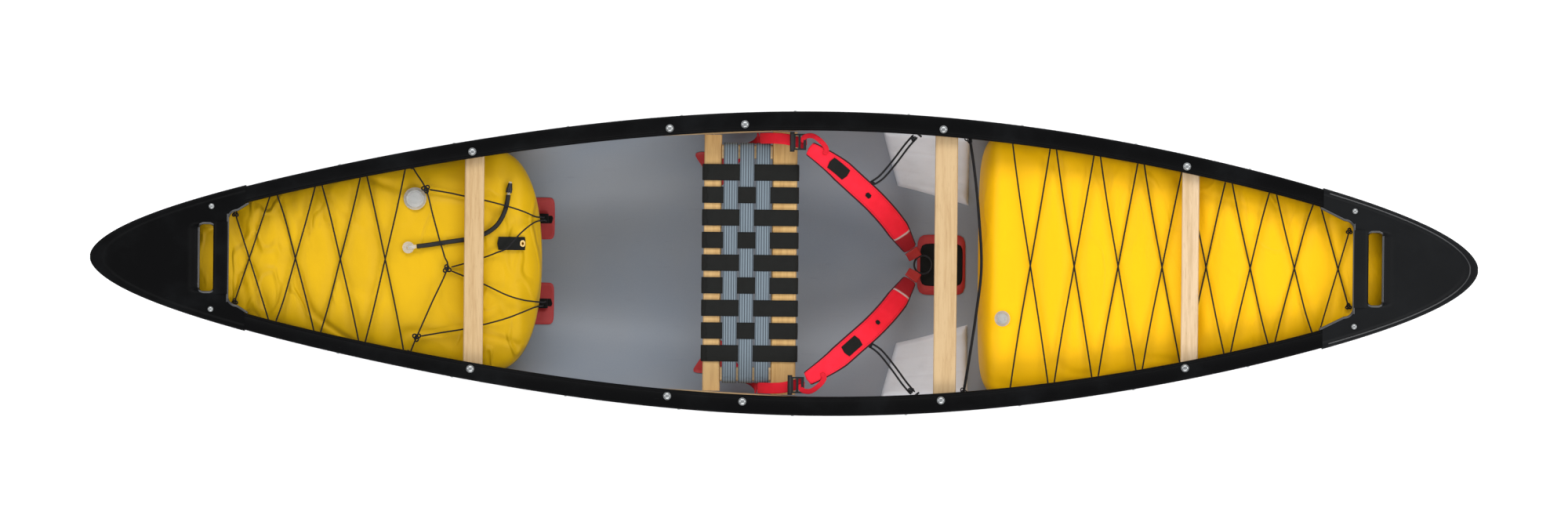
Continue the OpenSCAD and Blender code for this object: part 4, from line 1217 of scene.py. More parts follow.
@dataclass
class Studio:
    """Camera straight above the boat, soft light and a pale floor."""

    camera_height: float = 24.4
    view_width: float = 4.0
    rim_height: float = 0.40
    roll: float = 0.00995
    centre_y: float = -0.003
    floor_size: float = 30.0

    def make_camera(self) -> None:
        """Makes the camera at the viewing angle."""
        data = bpy.data.cameras.new("camera")
        data.sensor_width = 36.0
        data.lens = data.sensor_width * (self.camera_height - self.rim_height) / self.view_width
        data.clip_end = 200.0
        camera = bpy.data.objects.new("camera", data)
        camera.location = (0.0, self.centre_y, self.camera_height)
        camera.rotation_euler = (0.0, 0.0, self.roll)
        bpy.context.scene.collection.objects.link(camera)
        bpy.context.scene.camera = camera

    def make_floor(self) -> None:
        """Makes the floor, which isn't part of the object."""
        Bench.clear()
        bpy.ops.mesh.primitive_plane_add(size=self.floor_size)
        floor = bpy.context.object
        floor.name = "floor"
        graph = Graph("floor")
        faint = graph.noise(graph.place(), 0.6, 2, 0.5)
        dress(floor, graph.shade(Base_Color=graph.mix(faint, (0.93, 0.93, 0.93), (0.95, 0.95, 0.95)),
                                 Roughness=0.9, Emission_Color=(1.0, 1.0, 1.0), Emission_Strength=0.35))

    def make_lights(self) -> None:
        """Makes two long soft lights, two end lights and an even sky."""
        for name, place, size, power in (
                ("port_light", (0.0, 4.2, 4.6), (7.0, 2.4), 205.0),
                ("starboard_light", (0.6, -4.4, 4.2), (7.0, 2.4), 185.0),
                ("bow_light", (6.0, 0.0, 4.4), (2.2, 4.0), 120.0),
                ("stern_light", (-6.0, 0.6, 4.4), (2.2, 4.0), 100.0)):
            data = bpy.data.lights.new(name, "AREA")
            data.shape = "RECTANGLE"
            data.size, data.size_y = size
            data.energy = power
            light = bpy.data.objects.new(name, data)
            light.location = place
            light.rotation_euler = (Vector((0, 0, 0.3)) - light.location).to_track_quat("-Z", "Y").to_euler()
            bpy.context.scene.collection.objects.link(light)
        world = bpy.data.worlds.new("sky")
        bpy.context.scene.world = world
        world.use_nodes = True
        world.node_tree.nodes["Background"].inputs["Color"].default_value = (0.95, 0.97, 1.0, 1)
        world.node_tree.nodes["Background"].inputs["Strength"].default_value = 0.60
        bpy.context.scene.view_settings.view_transform = "Standard"


# ---- Hull, gunwales and decks -----------------------------------------------------------


@dataclass
class Hull:
    """The hull laminate, one closed shell with a lining and an outer skin."""

    finishes: Finishes
    stations: int = 150
    girth: int = 40

    def build(self) -> None:
        """Bends one closed band of faces round both skins."""
        lining: list[float] = []

        def place(u: float, v: float) -> Vector:
            """Point of the outer skin, then of the lining, going round the section.

            Args:
                u: share round the section.
                v: share along the boat.

            Returns:
                The point.
            """
            spread = 2 * v - 1
            s = 0.6 * spread + 0.4 * sin(pi / 2 * spread)
            half = 2 * self.girth
            k = round(u * 2 * (half + 1)) % (2 * (half + 1))
            inner = k > half
            lining.append(1.0 if inner else 0.0)
            g = 1 - 2 * (k - half - 1) / half if inner else 2 * k / half - 1
            point = FORM.surface(s, g, FORM.liner_inset if inner else FORM.hull_inset)
            if abs(spread) > 1 - 1e-6:
                point.y = 0.0
            point.z = max(point.z, 0.0)
            return point

        hull = Bench.formed("hull", 4 * self.girth + 2, 2 * self.stations, place)
        Bench.store(hull, "lining", lining)
        Bench.weld(hull, close=True)
        Bench.smooth(hull, 50)
        settle(hull, self.finishes.laminate, "hull_laminate", "boat_hull")


@dataclass
class Gunwale:
    """One gunwale: a soft-edged cap with an outer and an inner leg."""

    finishes: Finishes
    side: int
    cap: float = 0.006
    drop: float = 0.022
    leg: float = 0.0014
    lip: float = 0.0002
    overhang: float = 0.003
    stations: int = 150

    def profile(self) -> Outline:
        """Section as inset and height above the rim, with a rolled inner lip.

        Returns:
            The corners in order.
        """
        outer, inner = FORM.gunwale_inset, FORM.inwale_inset + self.overhang
        slot_out, slot_in = FORM.hull_inset - self.leg, FORM.liner_inset + self.leg
        made = [(outer, -self.drop), (outer, self.cap - 0.005)]
        made += self._arc(outer + 0.005, self.cap - 0.005, 0.005, 180, 90)
        made += [(outer + 0.014, self.cap - 0.0002), (inner - 0.012, self.cap - 0.0006),
                 (inner - 0.0085, self.cap - 0.0024)]
        made += self._arc(inner - 0.0042, self.cap - 0.0042 + self.lip, 0.0042, 110, 0)
        made += [(inner, -self.drop + 0.003), (inner - 0.003, -self.drop), (slot_in, -self.drop),
                 (slot_in, 0.0008), (slot_out, 0.0008), (slot_out, -self.drop)]
        return made

    @staticmethod
    def _arc(x: float, z: float, radius: float, start: float, end: float) -> Outline:
        """Six points on an arc, in degrees."""
        angles = [radians(start + (end - start) * k / 5) for k in range(6)]
        return [(x + radius * cos(a), z + radius * sin(a)) for a in angles]

    def build(self) -> None:
        """Sweeps the section along the rim."""
        profile = self.profile()
        reach = FORM.half_length - 0.150
        name = "port" if self.side > 0 else "starboard"

        def place(u: float, v: float) -> Vector:
            """Point of the section at a station.

            Args:
                u: share round the section.
                v: share along the rim.

            Returns:
                The point.
            """
            spread = 2 * v - 1
            x = (0.6 * spread + 0.4 * sin(pi / 2 * spread)) * reach
            inset, rise = profile[round(u * len(profile)) % len(profile)]
            return Vector((x, self.side * FORM.half_width(x, inset), FORM.sheer(x) + rise))

        gunwale = Bench.formed(f"{name}_gunwale_trim", len(profile), self.stations, place)
        Bench.weld(gunwale)
        Bench.smooth(gunwale, 40)
        settle(gunwale, self.finishes.vinyl, "black_vinyl", f"{name}_gunwale")


@dataclass
class EndDeck:
    """One end deck: a lipped panel with a hand slot, a carry bar and an open bay."""

    finishes: Finishes
    end: int
    slot_at: float
    slot_span: float
    length: float = 0.390
    slot_length: float = 0.036
    handle_bar: float = 0.036
    bar_thick: float = 0.015
    skirt: float = 0.027
    top: float = 0.0098
    corner: float = 0.006
    band: float = 0.014
    step_wide: float = 0.006
    step_deep: float = 0.0026
    recess_long: float = 0.030
    recess_deep: float = 0.014
    bead: float = 0.0066
    ridge_bead: float = 0.0052
    ridge_inset: float = 0.010

    @property
    def start(self) -> float:
        """Distance from midships to the deck's inboard end."""
        return FORM.half_length - self.length

    @property
    def slot_x(self) -> float:
        """Distance from midships to the middle of the slot."""
        return FORM.half_length - self.slot_at - self.slot_length / 2

    @property
    def bar_edge(self) -> float:
        """Distance from midships to the inboard edge of the carry bar."""
        return self.slot_x - self.slot_length / 2 - self.handle_bar

    def height(self, x: float, y: float) -> float:
        """Height of the deck's face above the rim at a place given as a distance from midships.

        Args:
            x: distance from midships.
            y: place across the boat.

        Returns:
            The height above the rim.
        """
        inset = FORM.inset_at(self.end * x, y)
        if inset < self.corner:
            return self.top - self.corner + sqrt(max(self.corner ** 2 - (self.corner - inset) ** 2, 0.0))
        face = self.top - self.step_deep * smooth_step(self.band, self.band + self.step_wide, inset)
        out = self.slot_x + self.slot_length / 2
        along = 1 - smooth_step(out, out + self.recess_long, x)
        inside = 1 - smooth_step(self.slot_span / 2 - 0.012, self.slot_span / 2 + 0.004, abs(y))
        behind = smooth_step(out - self.slot_length - 0.006, out - self.slot_length, x)
        return face - self.recess_deep * along * inside * behind

    def shell(self) -> Piece:
        """Top and skirts as one sheet, thickened inwards.

        Returns:
            The thickened sheet.
        """
        across, along = 132, 96
        rows = 5

        def place(u: float, v: float) -> Vector:
            """Point over the deck from the starboard skirt to the port one.

            Args:
                u: share across the deck, skirts and all.
                v: share along it.

            Returns:
                The point.
            """
            s0 = self.start / FORM.half_length
            s = s0 + (1 - s0) * sin(pi / 2 * v)
            x = s * FORM.reach(0.0)
            half = FORM.half_width(self.end * x, 0.0) if v < 1 - 1e-6 else 0.0
            j = round(u * across)
            z = FORM.sheer(x)
            if j < rows or j > across - rows:
                low = j / rows if j < rows else (across - j) / rows
                y = -half if j < rows else half
                edge = self.top - self.corner
                return Vector((self.end * x, y, z - self.skirt + (self.skirt + edge) * low))
            t = 2 * (j - rows) / (across - 2 * rows) - 1
            y = half * (0.45 * t + 0.55 * sin(pi / 2 * t))
            return Vector((self.end * x, y, z + self.height(x, y)))

        sheet = Bench.formed("deck", across, along, place)
        Bench.weld(sheet, close=False)
        top_face = max(sheet.data.polygons, key=lambda f: abs(f.normal.z) * f.area)
        if top_face.normal.z < 0:
            Bench.take(sheet)
            bpy.ops.object.mode_set(mode="EDIT")
            bpy.ops.mesh.select_all(action="SELECT")
            bpy.ops.mesh.flip_normals()
            bpy.ops.object.mode_set(mode="OBJECT")
        return Bench.modify(sheet, "SOLIDIFY", thickness=FORM.deck_wall, offset=-1.0, use_even_offset=False)

    def slot_outline(self, grow: float = 0.0) -> Outline:
        """Outline of the hand slot with round corners."""
        return self._rounded(self.slot_x, self.slot_length / 2 + grow, self.slot_span / 2 + grow, 0.012)

    def _rounded(self, x: float, half_x: float, half_y: float, radius: float) -> Outline:
        """Rectangle with round corners about a place on the centre line.

        Args:
            x: its middle, from midships.
            half_x: half its length.
            half_y: half its width.
            radius: radius of its corners.

        Returns:
            The outline.
        """
        made = []
        for corner, (sx, sy) in enumerate(((1, 1), (-1, 1), (-1, -1), (1, -1))):
            for k in range(8):
                a = radians(90 * (corner + k / 7))
                made.append((self.end * (x + sx * (half_x - radius) + radius * cos(a)),
                             sy * (half_y - radius) + radius * sin(a)))
        return made

    def bay_outline(self) -> Outline:
        """Outline of the bay between the two arms, open at its inboard end.

        Returns:
            The outline.
        """
        fillet = 0.024
        inset = FORM.inwale_inset + 0.005
        far = self.bar_edge
        made = []
        half = FORM.half_width(self.end * far, inset) - 0.004
        for k in range(9):
            a = radians(90 * k / 8)
            made.append((far - fillet + fillet * cos(a), half - fillet + fillet * sin(a)))
        near = self.start - 0.010
        first = far - fillet
        for k in range(1, 9):
            x = first + (near - first) * k / 8
            made.append((x, half + (FORM.half_width(self.end * near, inset) - half) * k / 8))
        port = [(self.end * x, y) for x, y in made]
        return list(reversed([(x, -y) for x, y in port])) + port

    def ridge_outline(self) -> Outline:
        """Line a little inside the deck's edge, round the tip of the boat.

        Returns:
            The line, from one side round to the other.
        """
        first = self.start + 0.012
        last = FORM.reach(self.ridge_inset)
        made = []
        for k in range(41):
            x = self.end * (first + (last - first) * sin(pi / 2 * k / 40))
            made.append((x, FORM.half_width(x, self.ridge_inset)))
        return made + [(x, -y) for x, y in reversed(made)]

    def bead_along(self, outline: Outline, diameter: float, drop: float, loop: bool = False) -> Piece:
        """Rolled edge that follows an outline, with its middle a drop below the deck's face."""
        points = [(x, y, FORM.sheer(x) + self.height(abs(x), y) - drop) for x, y in outline]
        return Bench.cord("bead", points, diameter, 0.004, 10, loop)

    def slot_wall(self) -> Piece:
        """Short wall that hangs round the hand slot.

        Returns:
            The wall.
        """
        outline = self.slot_outline(0.0006)
        count = len(outline)

        def place(u: float, v: float) -> Vector:
            """Point down the wall.

            Args:
                u: share round the slot.
                v: share down the wall.

            Returns:
                The point.
            """
            x, y = outline[round(u * count) % count]
            top = FORM.sheer(x) + self.height(abs(x), y)
            return Vector((x, y, top - 0.0015 - 0.012 * v))

        wall = Bench.weld(Bench.formed("wall", count, 3, place), close=False)
        return Bench.modify(wall, "SOLIDIFY", thickness=0.0022, offset=1.0)

    def carry_bar(self) -> Piece:
        """Rounded bar between the slot and the bay.

        Returns:
            The bar.
        """
        x = self.end * (self.bar_edge + self.handle_bar / 2)
        z = FORM.sheer(x) + self.top - self.bar_thick / 2 + 0.0004
        half = self.slot_span / 2 + 0.006
        path = Bench.path([(x, -half, z), (x, 0.0, z + 0.0008), (x, half, z)], 0.006)
        wide, thick = self.handle_bar, self.bar_thick

        def section(angle: float, share: float) -> tuple[float, float]:
            """Soft oblong, a little deeper in the middle.

            Args:
                angle: angle round the section.
                share: share of the width.

            Returns:
                Offsets across and up.
            """
            c, s = cos(angle), sin(angle)
            swell = 1 + 0.05 * sin(pi * share)
            return (copysign(abs(c) ** 0.72, c) * wide / 2,
                    copysign(abs(s) ** 0.62, s) * thick / 2 * swell)

        return Bench.sweep("bar", path, section, UP, 28)

    def build(self) -> None:
        """Makes the shell, cuts its openings and joins the edges and the bar."""
        name = "bow" if self.end > 0 else "stern"
        shell = self.shell()
        for outline in (self.slot_outline(), self.bay_outline()):
            Bench.cut(shell, Bench.prism("cutter", outline, 0.3, 0.8))
        deck = Bench.join(f"{name}_deck_moulding", [shell, self.carry_bar()])
        Bench.smooth(deck, 38)
        face = self.finishes.charcoal if self.end > 0 else self.finishes.vinyl
        settle(deck, face, "black_vinyl", f"{name}_deck")
        parts = [self.slot_wall(), self.bead_along(self.slot_outline(0.002), self.bead, 0.0012, True),
                 self.bead_along(self.bay_outline(), self.bead, 0.0016)]
        if self.end > 0:
            parts.append(self.bead_along(self.ridge_outline(), self.ridge_bead, 0.0022))
        edges = Bench.join(f"{name}_deck_edges", parts)
        Bench.smooth(edges, 60)
        settle(edges, self.finishes.edge, "black_vinyl")


# ---- Fasteners --------------------------------------------------------------------------


@dataclass
class Fasteners:
    """Domed bolts along the gunwales and screws in the decks."""

    finishes: Finishes
    head: float = 0.020
    shank: float = 0.0064
    thwart_bolts_x: tuple[float, ...] = (-0.798, 0.404, 1.025)
    seat_bolts_x: tuple[float, ...] = (-0.295, -0.103)
    dome: float = 0.0042
    shank_length: float = 0.058
    cap_face: float = 0.0062
    screw_head: float = 0.014
    screw_dome: float = 0.0028
    screw_shank: float = 0.005
    screw_length: float = 0.021
    deck_face: float = 0.0092
    deck_screws_x: tuple[float, ...] = (-(FORM.half_length - 0.303), FORM.half_length - 0.309)

    def domed(self, diameter: float, rise: float, shank: float, depth: float) -> Piece:
        """Domed head on a washer, drawn up ring by ring from a disc.

        Args:
            diameter: across the washer.
            rise: height of the dome.
            shank: diameter of the shank.
            depth: length of the shank.

        Returns:
            The fastener, standing on Z = 0.
        """
        Bench.clear()
        bpy.ops.mesh.primitive_cylinder_add(vertices=32, radius=diameter / 2, depth=0.0012,
                                            location=(0, 0, 0.0006))
        head = bpy.context.object
        bpy.ops.object.transform_apply(location=True, rotation=True, scale=True)
        bpy.ops.object.mode_set(mode="EDIT")
        bpy.ops.mesh.select_all(action="DESELECT")
        bpy.ops.object.mode_set(mode="OBJECT")
        for face in head.data.polygons:
            face.select = face.normal.z > 0.9
        bpy.ops.object.mode_set(mode="EDIT")
        bpy.ops.mesh.inset(thickness=diameter * 0.06)
        inner = diameter * 0.44
        for k in range(1, 6):
            angle = pi / 2 * k / 6
            step = inner * (cos(pi / 2 * (k - 1) / 6) - cos(angle))
            lift = rise * (sin(angle) - sin(pi / 2 * (k - 1) / 6))
            bpy.ops.mesh.inset(thickness=step)
            bpy.ops.transform.translate(value=(0, 0, lift))
        bpy.ops.object.mode_set(mode="OBJECT")
        bpy.ops.mesh.primitive_cylinder_add(vertices=16, radius=shank / 2, depth=depth,
                                            location=(0, 0, -depth / 2 + 0.0004))
        rod = bpy.context.object
        bpy.ops.object.transform_apply(location=True, rotation=True, scale=True)
        return Bench.smooth(Bench.join("fastener", [head, rod]), 40)

    def spread(self, name: str, pattern: Piece, places: Sequence[Matrix], node: str) -> None:
        """Copies a fastener to its places, as one piece that replaces a node.

        Args:
            name: name of the piece.
            pattern: the fastener, which is removed.
            places: where each copy goes.
            node: the node that it replaces.
        """
        copies = [Bench.copied(pattern, where) for where in places]
        bpy.data.objects.remove(pattern)
        group = Bench.join(name, copies)
        settle(group, self.finishes.steel, "steel", node)

    def build(self) -> None:
        """Makes the three groups."""
        self.spread("gunwale_thwart_bolts", self.domed(self.head, self.dome, self.shank, self.shank_length),
                    [self.on_gunwale(x, side, self.cap_face)
                     for x in self.thwart_bolts_x for side in (-1, 1)],
                    "thwart_bolts")
        self.spread("gunwale_seat_bolts", self.domed(self.head, self.dome, self.shank, self.shank_length),
                    [Matrix.Translation((x, side * FORM.half_width(x, FORM.bolt_inset),
                                         FORM.sheer(x) + self.cap_face))
                     for x in self.seat_bolts_x for side in (-1, 1)], "seat_bolts")
        self.spread("deck_screw_heads",
                    self.domed(self.screw_head, self.screw_dome, self.screw_shank, self.screw_length),
                    [self.on_gunwale(x, side, self.deck_face)
                     for x in self.deck_screws_x for side in (-1, 1)],
                    "deck_screws")

    @staticmethod
    def on_gunwale(x: float, side: int, rise: float) -> Matrix:
        """Frame on the line of bolts, a rise above the rim and square to it."""
        return FORM.on_rim(x, side * FORM.half_width(x, FORM.bolt_inset)) @ Matrix.Translation((0, 0, rise))


# ---- Seat -------------------------------------------------------------------------------


@dataclass
class Seat:
    """Webbing seat: nine black straps woven with three grey ones on an ash frame."""

    finishes: Finishes
    z: float = 0.302
    rail_thick: float = 0.020
    rear_x: float = -0.184
    rear_width: float = 0.045
    front_width: float = 0.064
    crossbar_spacing: float = 0.56987
    crossbar_width: float = 0.036
    strap_thick: float = 0.0016
    fore_aft_count: int = 9
    cross_count: int = 3
    strap_gap: float = 0.016
    cross_gap: float = 0.005

    @property
    def pitch(self) -> float:
        """Distance between the black straps."""
        return (self.crossbar_spacing - self.crossbar_width - 0.012) / self.fore_aft_count

    @property
    def opening(self) -> tuple[float, float]:
        """Where the opening between the rails starts and ends."""
        return self.rear_x + self.rear_width / 2, -self.front_width / 2

    @property
    def cross_pitch(self) -> float:
        """Distance between the grey straps."""
        return (self.opening[1] - self.opening[0] - self.cross_gap) / self.cross_count

    def over(self, i: int, j: int) -> float:
        """1 where black strap i lies over grey strap j, and -1 where it lies under."""
        return 1.0 if (i + j) % 2 == 0 else -1.0

    def grey_x(self, j: int) -> float:
        """Middle of grey strap j."""
        return (self.opening[0] + self.opening[1]) / 2 + (j - 1) * self.cross_pitch

    def black_y(self, i: int) -> float:
        """Middle of black strap i."""
        return (i - (self.fore_aft_count - 1) / 2) * self.pitch

    def loop_path(self, low: float, high: float, wave: Callable[[float], float],
                  lift: float) -> Outline:
        """Closed route round two bars, as a place along it and a height.

        Args:
            low: one outer edge of the bars.
            high: the other outer edge.
            wave: weave of the top run, as a height at a place.
            lift: distance of the strap's middle from the bars.

        Returns:
            Points of the closed route.
        """
        top = self.z + lift
        under = self.z - self.rail_thick - lift
        bend = 0.008
        places = [low + bend + (high - low - 2 * bend) * k / 72 for k in range(73)]
        made = [(x, top + wave(x)) for x in places]
        made += [(high + lift * 0.7 - bend * 0.3, top - bend * 0.3), (high + lift, top - bend),
                 (high + lift, under + bend), (high + lift * 0.7 - bend * 0.3, under + bend * 0.3),
                 (high - bend, under)]
        made += [(high - bend + (low - high + 2 * bend) * k / 8, under) for k in range(1, 8)]
        made += [(low + bend, under), (low - lift * 0.7 + bend * 0.3, under + bend * 0.3),
                 (low - lift, under + bend), (low - lift, top - bend),
                 (low - lift * 0.7 + bend * 0.3, top - bend * 0.3)]
        return made

    def build_straps(self) -> None:
        """Weaves the straps; each passes over and under the others in turn."""
        amplitude = self.strap_thick * 0.75
        black, grey = [], []
        low, high = self.rear_x - self.rear_width / 2, self.front_width / 2
        for i in range(self.fore_aft_count):
            def wave(x: float, i: int = i) -> float:
                """Height of the black strap's weave."""
                return sum(self.over(i, j) * amplitude * exp(-((x - self.grey_x(j))
                           / (self.cross_pitch * 0.42)) ** 4) for j in range(self.cross_count))
            y = self.black_y(i)
            route = [Vector((x, y, z)) for x, z in self.loop_path(low, high, wave, 0.0042)]
            path = Bench.even([*route, route[0]], 0.004)
            section = Bench.flat_section(self.pitch - self.strap_gap, self.strap_thick)
            black.append(Bench.sweep("strap", path, section, None, 20, True))
        half = self.crossbar_spacing / 2 + self.crossbar_width / 2
        for j in range(self.cross_count):
            def ripple(y: float, j: int = j) -> float:
                """Height of the grey strap's weave."""
                return -sum(self.over(i, j) * amplitude * exp(-((y - self.black_y(i))
                            / (self.pitch * 0.40)) ** 4) for i in range(self.fore_aft_count))
            x = self.grey_x(j)
            route = [Vector((x, y, z)) for y, z in self.loop_path(-half, half, ripple, 0.0042)]
            path = Bench.even([*route, route[0]], 0.004)
            section = Bench.flat_section(self.cross_pitch - self.cross_gap, self.strap_thick)
            grey.append(Bench.sweep("strap", path, section, None, 20, True))
        for name, straps, material, slot, node in (
                ("seat_black_straps", black, self.finishes.black_web, "black_webbing", "seat_fore_aft_straps"),
                ("seat_grey_straps", grey, self.finishes.grey_web, "grey_webbing", "seat_athwart_straps")):
            group = Bench.join(name, straps)
            settle(group, material, slot, node)

    def build(self) -> None:
        """Makes the straps and dresses the frame's bars."""
        self.build_straps()
        dress_nodes(self.finishes.ash_rail, "seat_rear_rail", "seat_front_rail")
        dress_nodes(self.finishes.ash_fore_aft, "port_seat_truss", "starboard_seat_truss",
                    "port_seat_crossbar", "starboard_seat_crossbar")


# ---- Outfitting -------------------------------------------------------------------------


@dataclass
class KneePad:
    """Moulded foam pad on the bilge, with a raised inboard ridge."""

    finishes: Finishes
    side: int
    aft: float = 0.252
    fore: float = 0.476
    low: float = 0.215
    high: float = 0.795
    thick: float = 0.020

    def build(self) -> None:
        """Bends a closed, crowned pad to the lining."""
        name = "port" if self.side > 0 else "starboard"
        reach = FORM.reach(FORM.liner_inset)

        def place(u: float, v: float) -> Vector:
            """Point round the pad's section, top side for u under a half.

            Args:
                u: share round the section.
                v: share along the piece.

            Returns:
                The point.
            """
            top = u <= 0.5
            t = 2 * u if top else 2 - 2 * u
            lowest = self.low + 0.09 * (1 - v)
            g = lowest + (self.high - lowest) * t
            start = self.aft + 0.040 * (1 - t) ** 1.5
            x = start + (self.fore - start) * v
            edge = min(min(t, 1 - t) / 0.10, min(v, 1 - v) / 0.09, 1.0)
            crown = sqrt(max(1 - (1 - edge) ** 2, 0.0))
            ridge = exp(-((t - 0.11) / 0.050) ** 2) * 0.34
            groove = 0.16 * exp(-((t - 0.25) / 0.02) ** 2) + 0.12 * exp(-((t - 0.58) / 0.02) ** 2)
            lift = self.thick * crown * (0.72 + ridge - groove) if top else 0.0
            point = FORM.surface(x / reach, g, FORM.liner_inset + 0.001 + lift)
            return Vector((x, self.side * point.y, point.z))

        pad = Bench.formed(f"{name}_knee_foam", 88, 60, place)
        Bench.smooth(Bench.weld(pad), 60)
        settle(pad, self.finishes.foam, "pad_foam", f"{name}_knee_pad")


@dataclass
class ThighStrap:
    """Padded strap with bound edges, its patches and loops, and the webbing that anchors it."""

    finishes: Finishes
    side: int
    seat: Seat
    pad_width: float = 0.060
    pad_thick: float = 0.012
    tail_width: float = 0.028
    tail_thick: float = 0.0024

    @property
    def tail_y(self) -> float:
        """Distance of the webbing from the centre line beside the seat."""
        return self.seat.crossbar_spacing / 2 + self.seat.crossbar_width / 2 + 0.017

    @property
    def tail_z(self) -> float:
        """Height of the webbing beside the seat."""
        return self.seat.z + 0.042

    def mirrored(self, points: Sequence[Point]) -> list[Vector]:
        """A route drawn to port, on this strap's side."""
        return [Vector((p[0], self.side * p[1], p[2])) for p in points]

    def route(self) -> list[Vector]:
        """Middle line of the padded strap, from the seat's side to the floor ring.

        Returns:
            The points.
        """
        ty, tz = self.tail_y, self.tail_z
        return self.mirrored([
            (0.060, ty - 0.024, tz + 0.002), (0.078, ty - 0.035, tz + 0.008), (0.104, ty - 0.052, tz + 0.009),
            (0.138, 0.243, 0.342), (0.180, 0.206, 0.312), (0.225, 0.166, 0.270), (0.262, 0.128, 0.215),
            (0.290, 0.094, 0.155), (0.311, 0.063, 0.100), (0.326, 0.040, 0.062)])

    def tail_route(self) -> list[Vector]:
        """Webbing from the pad's outer end down to the anchor on the bilge.

        Returns:
            The points.
        """
        ty, tz = self.tail_y, self.tail_z
        points = [(0.056, ty - 0.016, tz), (0.030, ty - 0.009, tz), (0.0, ty - 0.002, tz),
                  (-0.030, ty, tz - 0.006), (-0.052, ty, tz - 0.024), (-0.066, ty, tz - 0.054),
                  (-0.074, ty, tz - 0.089)]
        for x, y, lift in ((-0.082, ty - 0.005, 0.091), (-0.096, ty - 0.017, 0.060),
                           (-0.114, ty - 0.036, 0.043), (-0.132, ty - 0.058, 0.031)):
            points.append((x, y, FORM.floor(x, y, FORM.liner_inset) + lift))
        return self.mirrored(points)

    def pad(self) -> Piece:
        """The padded strap: a crowned section that narrows at its two ends.

        Returns:
            The pad.
        """
        path = Bench.path(self.route(), 0.004)

        def section(angle: float, share: float) -> tuple[float, float]:
            """Crowned section with thin bound edges.

            Args:
                angle: angle round the section.
                share: share of the length.

            Returns:
                Offsets across and up.
            """
            c, s = cos(angle), sin(angle)
            wide = self.pad_width * min(1.0, 0.62 + 0.61 * sin(pi * share))
            plump = 0.55 + 0.45 * sin(pi * min(max(share, 0.04), 0.96)) ** 0.5
            thick = self.pad_thick * plump
            puff = max(1 - abs(c) ** 3.2, 0.0) ** 0.55 * 0.5 + 0.14 * (1 - abs(c) ** 8)
            return c * wide / 2, copysign(puff * thick, s)

        return Bench.sweep("pad", path, section, UP, 48, False, 0.006)

    def on_top(self, first: float, last: float, lift: float, shift: float = 0.0) -> list[Vector]:
        """Stretch of the strap's middle line between two shares, lifted onto its face.

        Args:
            first: share where it starts.
            last: share where it ends.
            lift: height above the middle line.
            shift: distance to the side.

        Returns:
            The points.
        """
        path = Bench.path(self.route(), 0.004)
        frames = Bench.frames(path, UP, False)
        chosen = frames[int(first * len(frames)):int(last * len(frames))]
        return [here.at + here.up * lift + here.side * shift for here in chosen]

    def extras(self, name: str) -> None:
        """Blank patch, tape loops and the pull loop.

        Args:
            name: name of the side.
        """
        first = 0.13 if self.side > 0 else 0.24
        label = Bench.band("patch", self.on_top(first, first + 0.13, 0.0086), 0.032, 0.0012, UP)
        small_at = 0.40 if self.side > 0 else 0.50
        tape = Bench.band("tape", self.on_top(small_at, small_at + 0.045, 0.0086), 0.012, 0.0035, UP)
        trim = Bench.join(f"{name}_strap_patch", [label, tape])
        settle(trim, self.finishes.black_web, "black_webbing")
        ty, tz = self.tail_y, self.tail_z
        loop = self.mirrored([(0.040, ty - 0.012, tz + 0.0045), (0.050, ty + 0.004, tz + 0.010),
                              (0.072, ty + 0.006, tz + 0.013), (0.096, ty - 0.012, tz + 0.015),
                              (0.106, ty - 0.030, tz + 0.017), (0.096, ty - 0.040, tz + 0.0175)])
        pull = Bench.band("pull", Bench.path(loop, 0.004), 0.013, 0.0022, UP)
        pull.name = f"{name}_pull_loop"
        settle(pull, self.finishes.red_web, "red_fabric")

    def build(self) -> None:
        """Makes the strap, its tail and its trimmings."""
        name = "port" if self.side > 0 else "starboard"
        pad = self.pad()
        pad.name = f"{name}_thigh_strap"
        settle(pad, self.finishes.red_cover, "red_fabric", f"{name}_thigh_pad")
        tail = Bench.band("tail", Bench.path(self.tail_route(), 0.005), self.tail_width, self.tail_thick,
                          Vector((0.35, 0, 1)))
        tail.name = f"{name}_strap_webbing"
        settle(tail, self.finishes.red_web, "red_fabric", f"{name}_strap_tail")
        self.extras(name)
        dress_nodes(self.finishes.moulded, f"{name}_strap_buckle", f"{name}_buckle_pin")


